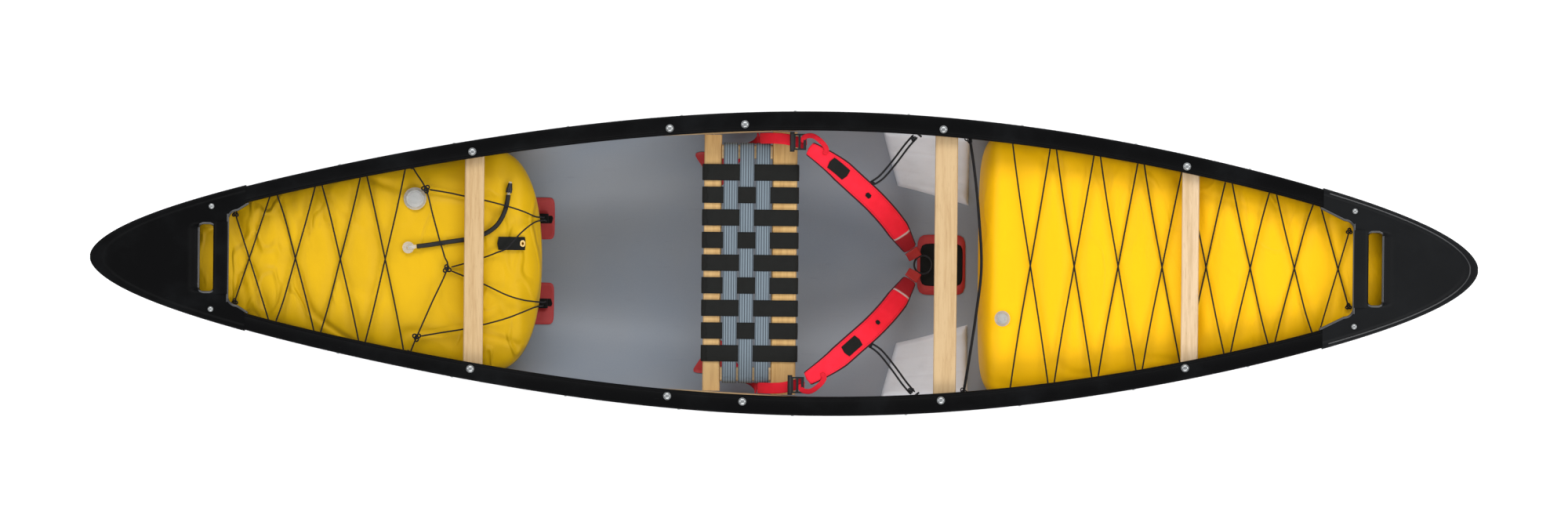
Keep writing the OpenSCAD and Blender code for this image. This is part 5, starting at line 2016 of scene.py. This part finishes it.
@dataclass
class Anchors:
    """Glued patches, webbing loops, the centre ring and the bungees."""

    finishes: Finishes
    straps: ThighStrap
    patch_lift: float = 0.002
    patch_thick: float = 0.003

    def patch(self, name: str, x: tuple[float, float], y: tuple[float, float], thick: float,
              taper: float = 0.0) -> Piece:
        """Patch that follows the lining between two places, with round corners and soft edges.

        Args:
            name: name of the piece.
            x: from and to along the boat.
            y: from and to across the boat.
            thick: its thickness.
            taper: how much narrower it gets towards the keel, as a share.

        Returns:
            The patch.
        """
        under = FORM.liner_inset + self.patch_lift
        mid_x, mid_y = (x[0] + x[1]) / 2, (y[0] + y[1]) / 2
        half_x, half_y = (x[1] - x[0]) / 2, (y[1] - y[0]) / 2

        def place(u: float, v: float) -> Vector:
            """Point of the upper or lower face; u runs round, v out from the middle.

            Args:
                u: share of the turn.
                v: share over the top and back below.

            Returns:
                The point.
            """
            angle = TAU * u
            c, s = cos(angle), sin(angle)
            size = (abs(c) ** 7 + abs(s) ** 7) ** (-1 / 7)
            top = v <= 0.5
            out = 2 * v if top else 2 - 2 * v
            py = mid_y + half_y * s * size * out
            inwards = 0.5 - (py - mid_y) / half_y * copysign(0.5, mid_y)
            px = mid_x + half_x * c * size * out * (1 - taper * inwards)
            edge = sqrt(max(1 - max((out - 0.94) / 0.06, 0.0) ** 2, 0.0))
            base = FORM.floor(px, py, under)
            return Vector((px, py, base + (thick * (0.15 + 0.85 * edge) if top else 0.0)))

        return Bench.smooth(Bench.weld(Bench.formed(name, 48, 24, place)), 50)

    def build_patches(self) -> None:
        """Makes the four red patches and the centre pad."""
        tail_y = self.straps.tail_y
        for side, name in SIDES:
            spans = sorted((side * (tail_y - 0.120), side * (tail_y - 0.034)))
            piece = self.patch(f"{name}_anchor_patch", (-0.240, -0.100), (spans[0], spans[1]), 0.005, 0.85)
            settle(piece, self.finishes.red_patch, "red_fabric", f"{name}_side_anchor")
        floor_patches = [self.patch("patch", (-0.659, -0.595), (side * 0.110 - 0.054, side * 0.110 + 0.054),
                                    self.patch_thick) for side in (-1, 1)]
        group = Bench.join("floor_patches", floor_patches)
        settle(group, self.finishes.red_patch, "red_fabric", "floor_anchor_patches")
        centre = self.patch("centre_patch", (0.345, 0.470), (-0.078, 0.078), 0.005)
        settle(centre, self.finishes.red_patch, "red_fabric", "centre_anchor_pad")
        plate = self.patch("centre_plate", (0.350, 0.466), (-0.058, 0.058), 0.0075)
        settle(plate, self.finishes.black_web, "black_webbing")

    def build_loops(self) -> None:
        """Makes the webbing loops that stand on the floor patches, and the ring's keepers."""
        loops = []
        for side in (-1, 1):
            under = FORM.floor(-0.645, side * 0.123, FORM.liner_inset + self.patch_lift)
            base = under + self.patch_thick + 0.0004
            route = [Vector((-0.627 + 0.0155 * cos(a), side * 0.110, base + 0.006 + 0.0058 * sin(a)))
                     for a in (TAU * k / 16 for k in range(16))]
            path = Bench.even([*route, route[0]], 0.002)
            loops.append(Bench.sweep("loop", path, Bench.flat_section(0.025, 0.0018), None, 16, True))
            tape = [(x, side * 0.110, FORM.floor(x, side * 0.110, FORM.liner_inset + self.patch_lift)
                     + self.patch_thick + 0.001) for x in (-0.655, -0.641, -0.613, -0.599)]
            loops.append(Bench.band("tape", Bench.path(tape, 0.004), 0.025, 0.0015, UP))
        group = Bench.join("floor_webbing_loops", loops)
        settle(group, self.finishes.black_web, "black_webbing", "floor_anchor_loops")
        keepers = [Bench.band("keeper", Bench.path([(0.327, side * 0.038, 0.060), (0.334, side * 0.028, 0.048),
                                                    (0.341, side * 0.016, 0.037)], 0.003), 0.036, 0.005,
                              UP) for side in (-1, 1)]
        group = Bench.join("ring_webbing", keepers)
        settle(group, self.finishes.red_patch, "red_fabric", "ring_keepers")
        dress_nodes(self.finishes.moulded, "centre_ring")

    def build_bungees(self) -> None:
        """Makes the two bungee loops."""
        for side, name in SIDES:
            route = ((0.222, 0.206, 0.290), (0.248, 0.224, 0.284), (0.280, 0.262, 0.296), (0.312, 0.305, 0.320),
                     (0.334, 0.330, 0.332))
            lanes = []
            for lane in (-0.005, 0.005):
                points = [(x + lane, side * y - side * lane * 0.6, z) for x, y, z in route]
                lanes.append(Bench.cord("lane", points, 0.005, 0.005, 10))
            lanes.append(Bench.knot("tie", (0.328, side * 0.322, 0.330), 0.014, 0.004))
            lanes.append(Bench.knot("tie", (0.224, side * 0.206, 0.290), 0.012, 0.004))
            group = Bench.join(f"{name}_bungee_loop", lanes)
            settle(group, self.finishes.cord, "black_cord", f"{name}_bungee")
        dress_nodes(self.finishes.moulded, "bungee_hooks")

    def build(self) -> None:
        """Makes all the anchors."""
        self.build_patches()
        self.build_loops()
        self.build_bungees()


# ---- Airbags ----------------------------------------------------------------------------


@dataclass
class Lacing:
    """Cord laced from side to side over one airbag, through pairs of holes under the rim."""

    name: str
    start: float
    pitch: float
    count: int
    end_x: float
    end_y: float
    drop: float = 0.060
    cord_d: float = 0.004
    pair: float = 0.012

    def height(self, x: float) -> float:
        """Height of the lacing holes."""
        return FORM.sheer(x) - self.drop

    def crossings(self) -> list[tuple[Vector, Vector]]:
        """Straight runs over the bag, as pairs of ends.

        Returns:
            The pairs, at height 0.
        """
        runs = []
        for first in (-1, 1):
            points = [Vector((self.start + self.pitch * i, (first if i % 2 == 0 else -first)
                              * FORM.half_width(self.start + self.pitch * i, FORM.liner_inset), 0.0))
                      for i in range(self.count)]
            last_side = first if (self.count - 1) % 2 == 0 else -first
            points.append(Vector((self.end_x, -last_side * self.end_y, 0.0)))
            runs += list(zip(points, points[1:]))
        return runs

    def route(self, first: int) -> list[Vector]:
        """Route of one cord, out through one hole and back through the next at each side.

        Args:
            first: side of the first hole, 1 for port.

        Returns:
            The points.
        """
        lift = first * self.cord_d * 0.6
        way = copysign(1.0, self.pitch)
        made: list[Vector] = []
        for i in range(self.count):
            x = self.start + self.pitch * i
            side = first if i % 2 == 0 else -first
            a, b = x - way * self.pair / 2, x + way * self.pair / 2
            z = self.height(x)
            for at, inset, out, rise in (
                    (a, FORM.liner_inset, -0.012, lift), (a, FORM.hull_inset, self.cord_d, 0.0),
                    (b, FORM.hull_inset, self.cord_d, 0.0), (b, FORM.liner_inset, -0.012, lift)):
                made.append(Vector((at, side * (FORM.half_width(at, inset) + out), z + rise)))
            if i < self.count - 1:
                after = x + self.pitch
                for share in (0.25, 0.5, 0.75):
                    px = x + (after - x) * share
                    py = side * FORM.half_width(x, FORM.liner_inset) * (1 - 2 * share)
                    made.append(Vector((px, py, self.height(px) + lift)))
        last_side = first if (self.count - 1) % 2 == 0 else -first
        made.append(Vector((self.end_x, -last_side * self.end_y, self.height(self.end_x) + lift)))
        return made

    def build(self, finishes: Finishes) -> None:
        """Makes the two cords and the knots that end them.

        Args:
            finishes: the boat's finishes.
        """
        parts = []
        for first in (-1, 1):
            route = self.route(first)
            parts.append(Bench.cord("lace", route, self.cord_d, 0.006, 8))
            end, start = route[-1], route[0]
            parts.append(Bench.knot("end", end, 0.016, self.cord_d, first))
            inboard = start + Vector((0, -copysign(0.006, start.y), 0.003))
            parts.append(Bench.knot("start", inboard, 0.018, self.cord_d, first * 0.6))
        group = Bench.join(f"{self.name}_lace", parts)
        settle(group, finishes.cord, "black_cord", f"{self.name}_lacing")


@dataclass
class Airbag:
    """Sealed bag of coated nylon that fills one end of the hull."""

    name: str
    aft: float
    fore: float
    aft_round: float
    fore_round: float
    laces: Lacing
    swell: float
    wrinkle: float
    swell_from: tuple[float, float]
    breadth: float = 1.0
    drop: float = 0.068
    shoulder_drop: float = 0.064
    mid_rise: float = 0.020

    def pull(self, x: float) -> float:
        """Share of the full section near the bag's rounded ends.

        Args:
            x: place along the boat.

        Returns:
            A share from 0 to 1.
        """
        shares = []
        for distance, radius in ((x - self.aft, self.aft_round), (self.fore - x, self.fore_round)):
            share = min(max(distance / radius, 0.0), 1.0)
            shares.append(max(1 - (1 - share) ** 2.4, 0.0) ** (1 / 2.4))
        return min(shares)

    def lines(self, x: float) -> tuple[float, float, float, float]:
        """Keel height, top, shoulder and girth share of the section at a place.

        Args:
            x: place along the boat.

        Returns:
            The four measures, in that order.
        """
        s = x / FORM.reach(FORM.bag_inset)
        low = FORM.keel(s, FORM.bag_inset)
        top = FORM.sheer(x) - self.drop
        shoulder = top - min(self.shoulder_drop, (top - low) * 0.4)
        rise = (shoulder - low) / (FORM.sheer(x) - low)
        power = 3.0 - 1.2 * s * s
        return low, top, shoulder, acos((1 - rise) ** (power / 2)) / (pi / 2)

    def top_at(self, x: float, y: float) -> float:
        """Height of the bag's plain top at a place.

        Args:
            x: place along the boat.
            y: place across the boat.

        Returns:
            The height.
        """
        low, top, shoulder, girth = self.lines(x)
        s = x / FORM.reach(FORM.bag_inset)
        width = FORM.surface(s, girth, FORM.bag_inset).y
        pull = self.pull(x)
        mid = (low + top) / 2 + self.mid_rise
        share = min(abs(y) / (width * pull), 1.0)
        local = shoulder + (top - shoulder) * (1 - share ** 4) ** 0.25
        return mid + pull * (local - mid)

    def relief(self, point: Vector, upward: float) -> float:
        """How far the skin stands out: it swells between the laces and puckers at its edges.

        Args:
            point: place on the plain bag.
            upward: 1 on the top, falling to 0 below the shoulder.

        Returns:
            Distance outwards.
        """
        flat = Vector((point.x, point.y, 0.0))
        press = 0.0
        for a, b in self.laces.crossings():
            run = b - a
            t = min(max((flat - a).dot(run) / run.length_squared, 0.0), 1.0)
            d = (flat - (a + run * t)).length
            press = max(press, exp(-(d / 0.017) ** 2))
        zone = smooth_step(self.swell_from[0], self.swell_from[1], point.x)
        puff = self.swell * zone * (1 - press) - 0.0012 * press * zone
        ripple = noise.fractal(Vector((point.x * 7.0, point.y * 3.2, point.z * 5.0)), 1.0, 2.1, 4)
        slant = Vector((point.x * 5.0 + point.y * 6.0, point.y * 4.0 - point.x * 3.0, 7.7))
        sharp = 1 - abs(noise.noise(slant))
        ripple -= 1.6 * max(sharp - 0.86, 0.0) / 0.14
        inboard = self.fore if self.aft < -1.0 else self.aft
        near_end = exp(-((point.x - inboard) / 0.16) ** 2)
        fold = noise.noise(Vector((point.x * 26.0, point.y * 6.0 + point.x * 9.0, 3.1))) * near_end
        return upward * (puff + self.wrinkle * ripple * 0.5 + self.wrinkle * fold * 1.3)

    def build(self, material: Material) -> None:
        """Shapes the skin round the hull and over the top, then softens it.

        Args:
            material: the skin's finish.
        """
        around, along = 144, 150

        def place(u: float, v: float) -> Vector:
            """Point round the bag's section at a place along it.

            Args:
                u: share round the section, under a half against the hull.
                v: share along the bag.

            Returns:
                The point.
            """
            x = (self.aft + self.fore) / 2 - (self.fore - self.aft) / 2 * cos(pi * v)
            low, top, shoulder, girth = self.lines(x)
            s = x / FORM.reach(FORM.bag_inset)
            pull = max(self.pull(x), 1e-4)
            swept = copysign(FORM.stem_sweep, s) * s ** 4 / 4
            centre = Vector((x - swept, 0.0, (low + top) / 2 + self.mid_rise))
            if u < 0.5:
                point = FORM.surface(s, girth * (4 * u - 1), FORM.bag_inset)
                upward = 0.0
            else:
                a = pi * (2 * u - 1)
                width = FORM.surface(s, girth, FORM.bag_inset).y
                c, sn = cos(a), max(sin(a), 0.0)
                point = Vector((x, width * copysign(abs(c) ** 0.5, c),
                                shoulder + (top - shoulder) * sn ** 0.5))
                upward = smooth_step(0.0, 0.55, sn)
            placed = centre + pull * (point - centre)
            if x < (self.aft + self.fore) / 2:
                placed.y = point.y * pull ** self.breadth
            placed.z += self.relief(placed, upward * pull)
            return placed

        bag = Bench.formed(f"{self.name}_float_bag", around, along, place)
        Bench.weld(bag, close=True)
        Bench.smooth(bag, 75)
        settle(bag, material, f"{self.name}_bag_skin", f"{self.name}_airbag")


@dataclass
class Restraints:
    """Cords that hold the two bags down at their inboard ends."""

    finishes: Finishes
    stern: Airbag
    cord_d: float = 0.004

    def on_bag(self, x: float, share: float, lift: float) -> Vector:
        """Place above the stern bag: share of its half width, and lift above its top."""
        y = share * FORM.half_width(x, FORM.bag_inset)
        return Vector((x, y, self.stern.top_at(x, y) + lift))

    def past_bag(self, out: float, y: float, share: float) -> Vector:
        """Place beyond the bag's inboard end: share of the hull's depth."""
        return Vector((self.stern.fore + out, y, share * FORM.centre_depth))

    def to_floor(self, out: float, y: float) -> Vector:
        """End on the floor patch."""
        x = self.stern.fore + out
        return Vector((x, y, FORM.floor(x, y, FORM.liner_inset) + 0.028))

    def stern_routes(self) -> list[list[Vector]]:
        """The cross cord and its four legs.

        Returns:
            One route for each cord.
        """
        on, past, down = self.on_bag, self.past_bag, self.to_floor
        bar = [on(-0.955, 0.957, 0.038), on(-0.945, 0.876, 0.023), on(-0.917, 0.688, 0.016),
               on(-0.900, 0.451, 0.0165), on(-0.890, 0.317, 0.023), on(-0.880, 0.185, 0.025),
               on(-0.868, 0.037, 0.020), on(-0.861, -0.084, 0.015), on(-0.900, -0.42, 0.011),
               on(-0.937, -0.763, 0.015), on(-0.950, -0.895, 0.024), on(-0.955, -0.957, 0.039)]
        legs = [
            [on(-0.911, 0.681, 0.011), on(-0.860, 0.629, 0.011), on(-0.815, 0.579, 0.0115),
             on(-0.765, 0.528, 0.0105), on(-0.709, 0.465, 0.021), on(-0.668, 0.413, 0.034),
             past(-0.016, 0.114, 0.79), past(-0.002, 0.112, 0.63), past(0.002, 0.112, 0.39), down(0.002, 0.113)],
            [on(-0.853, -0.069, 0.0085), on(-0.815, -0.028, 0.0095), on(-0.765, 0.028, 0.0091),
             on(-0.735, 0.068, 0.0124), on(-0.709, 0.107, 0.018), on(-0.673, 0.236, 0.027),
             past(-0.017, 0.098, 0.79), past(0.004, 0.104, 0.63), past(0.008, 0.104, 0.39), down(0.008, 0.103)],
            [on(-0.853, -0.098, 0.0085), on(-0.815, -0.149, 0.0095), on(-0.765, -0.214, 0.0091),
             on(-0.709, -0.294, 0.020), on(-0.668, -0.328, 0.034), past(-0.017, -0.104, 0.79),
             past(0.002, -0.106, 0.63), past(0.008, -0.106, 0.39), down(0.008, -0.105)],
            [on(-0.930, -0.752, 0.012), on(-0.875, -0.687, 0.011), on(-0.815, -0.625, 0.0124),
             on(-0.765, -0.566, 0.011), on(-0.709, -0.495, 0.021), on(-0.668, -0.432, 0.0345),
             past(-0.016, -0.120, 0.79), past(-0.002, -0.116, 0.63), past(0.002, -0.116, 0.39),
             down(0.002, -0.115)]]
        return [bar, *legs]

    def build(self) -> None:
        """Makes the cords and their knots."""
        routes = self.stern_routes()
        parts = [Bench.cord("run", route, self.cord_d, 0.006, 8) for route in routes]
        for spot, turn in ((routes[0][2], 0.3), (routes[0][7], 1.2), (routes[0][9], 2.1)):
            parts.append(Bench.knot("knot", spot, 0.022, self.cord_d, turn))
        group = Bench.join("stern_tie_down", parts)
        settle(group, self.finishes.cord, "black_cord", "stern_restraint_cord")
        points = [Vector((x, share * FORM.half_width(x, FORM.liner_inset), FORM.sheer(x) - drop))
                  for x, share, drop in ((0.470, 0.95, 0.044), (0.485, 0.686, 0.049), (0.498, 0.344, 0.059),
                                         (0.505, -0.023, 0.0615), (0.492, -0.372, 0.059), (0.476, -0.684, 0.0505),
                                         (0.461, -0.948, 0.044))]
        parts = [Bench.cord("run", [p + Vector((shift, 0, lift)) for p in points], 0.0028, 0.006, 8)
                 for shift, lift in ((-0.0022, 0.0), (0.0022, 0.0), (0.0, 0.0026))]
        parts.append(Bench.knot("knot", points[0] + Vector((0.0, -0.012, 0.004)), 0.022, 0.0032, 0.4))
        parts.append(Bench.knot("knot", points[-1] + Vector((0.0, 0.010, 0.004)), 0.020, 0.0032, 1.4))
        group = Bench.join("bow_tie_down", parts)
        settle(group, self.finishes.cord, "black_cord", "bow_restraint_cord")


# ---- Valves and hose --------------------------------------------------------------------


@dataclass
class ValveCap:
    """Domed, ribbed cap of an inflation valve, on its own turning body."""

    finishes: Finishes
    name: str
    diameter: float
    ribs: int = 16

    def build(self) -> None:
        """Turns the cap's profile about the joint's own axis."""
        joint = next(j for j in frame["joints"] if j["name"] == f"{self.name}_cap_turn")
        axis = Vector(joint["axis"])
        where = Matrix.Translation(Vector(joint["pos_m"])) @ axis.to_track_quat("Z", "X").to_matrix().to_4x4()
        r = self.diameter / 2
        profile = [(0.0, 0.0006), (r - 0.0045, 0.0006), (r - 0.0045, 0.0052), (r + 0.0010, 0.0054),
                   (r + 0.0012, 0.0074), (r * 0.98, 0.0086), (r * 0.86, 0.0094), (r * 0.80, 0.0092),
                   (r * 0.74, 0.0102), (r * 0.60, 0.0112), (r * 0.42, 0.0119), (r * 0.20, 0.0122), (0.0, 0.0123)]
        steps = 8 * self.ribs

        def place(u: float, v: float) -> Vector:
            """Point of the profile at an angle; the rim is ribbed.

            Args:
                u: share of the turn.
                v: share along the profile.

            Returns:
                The point.
            """
            radius, rise = profile[round(v * (len(profile) - 1))]
            angle = TAU * u
            if radius > r * 0.9:
                radius -= 0.0007 * (0.5 + 0.5 * cos(self.ribs * angle))
            return where @ Vector((radius * cos(angle), radius * sin(angle), rise))

        cap = Bench.formed(f"{self.name}_valve_dome", steps, len(profile) - 1, place)
        Bench.smooth(Bench.weld(cap), 40)
        settle(cap, self.finishes.clear, "clear_plastic", f"{self.name}_valve_cap", body=f"{self.name}_cap")
        dress_nodes(self.finishes.clear, f"{self.name}_valve_body")


@dataclass
class InflationHose:
    """Hose on the stern bag, from its flange under the thwart to its mouthpiece."""

    finishes: Finishes
    bag: Airbag
    diameter: float = 0.012

    def route(self) -> list[Vector]:
        """The hose's own points, laid on the bag.

        Returns:
            The points.
        """
        flat = ((-0.939, 0.034), (-0.915, 0.037), (-0.890, 0.041), (-0.865, 0.045), (-0.840, 0.049),
                (-0.815, 0.053), (-0.790, 0.059), (-0.768, 0.067), (-0.749, 0.078), (-0.734, 0.092),
                (-0.723, 0.109), (-0.715, 0.128), (-0.710, 0.148), (-0.707, 0.168))
        return [Vector((x, y, self.bag.top_at(x, y) + self.diameter / 2 + 0.0015)) for x, y in flat]

    def build(self) -> None:
        path = Bench.path(self.route(), 0.003)
        radius = self.diameter / 2
        hose = Bench.sweep("hose", path, lambda a, t: (radius * cos(a), radius * sin(a)), sides=20)
        hose.name = "hose_tube"
        settle(hose, self.finishes.rubber, "hose_rubber", "inflation_hose")
        length = sum((b - a).length for a, b in zip(path, path[1:]))
        dress_nodes(self.finishes.clear, "hose_flange", "mouthpiece_stem")
        dress_nodes(self.finishes.moulded, "hose_mouthpiece")

    def build_tab(self) -> None:
        """Makes the webbing tab that holds the brass eyelet."""
        route = [(x, 0.044, self.bag.top_at(x, 0.044) + 0.004) for x in (-0.734, -0.716, -0.698, -0.680, -0.662)]
        tab = Bench.band("tab", Bench.path(route, 0.003), 0.034, 0.0024, UP)
        tab.name = "eyelet_tab"
        at = (Vector(route[3]) + Vector(route[4])) / 2
        tilt = atan2(route[4][2] - route[3][2], route[4][0] - route[3][0])
        Bench.clear()
        bpy.ops.mesh.primitive_cylinder_add(vertices=32, radius=0.0054, depth=0.02, location=at,
                                            rotation=(0, -tilt, 0))
        Bench.cut(tab, bpy.context.object)
        settle(tab, self.finishes.black_web, "black_webbing", "grommet_tab")
        dress_nodes(self.finishes.brass, "tab_grommet")


# ---- The boat ---------------------------------------------------------------------------


def main() -> None:
    """Builds the boat piece by piece."""
    logging.basicConfig(level=logging.INFO, format="%(message)s")
    studio = Studio()
    studio.make_camera()
    finishes = Finishes()
    start = FORM.half_length - 0.390
    stern_laces = Lacing("stern", -0.962, -(start - 0.067 - 0.962) / 3, 4, -start - 0.029, 0.112)
    bow_laces = Lacing("bow", 0.574, (start - 0.013 - 0.574) / 7, 8, start + 0.069, 0.096)
    stern_bag = Airbag("stern", -(FORM.half_length - 0.190), -0.624, 0.120, 0.150, stern_laces, 0.009, 0.0085,
                       (-0.985, -1.045))
    bow_bag = Airbag("bow", 0.500, FORM.half_length - 0.175, 0.060, 0.120, bow_laces, 0.008, 0.0026,
                     (0.600, 0.680), 0.35)
    hose = InflationHose(finishes, stern_bag)
    hose.build()
    hose.build_tab()
    stern_laces.build(finishes)
    bow_laces.build(finishes)
    Restraints(finishes, stern_bag).build()
    Hull(finishes).build()
    Gunwale(finishes, 1).build()
    Gunwale(finishes, -1).build()
    EndDeck(finishes, 1, 0.240, 0.186).build()
    EndDeck(finishes, -1, 0.274, 0.172).build()
    Fasteners(finishes).build()
    dress_nodes(finishes.ash_athwart, "stern_thwart", "centre_thwart")
    dress_nodes(finishes.ash_pale, "bow_thwart")
    dress_nodes(finishes.steel, "thwart_nuts", "seat_nuts", "seat_rail_screws", "gunwale_rivets")
    seat = Seat(finishes)
    seat.build()
    for side in (1, -1):
        KneePad(finishes, side).build()
        strap = ThighStrap(finishes, side, seat)
        strap.build()
    Anchors(finishes, strap).build()
    stern_bag.build(finishes.stern_bag)
    bow_bag.build(finishes.bow_bag)
    ValveCap(finishes, "stern", 0.044).build()
    ValveCap(finishes, "bow", 0.026, 12).build()
    studio.make_floor()
    studio.make_lights()


if __name__ == "__main__":
    main()
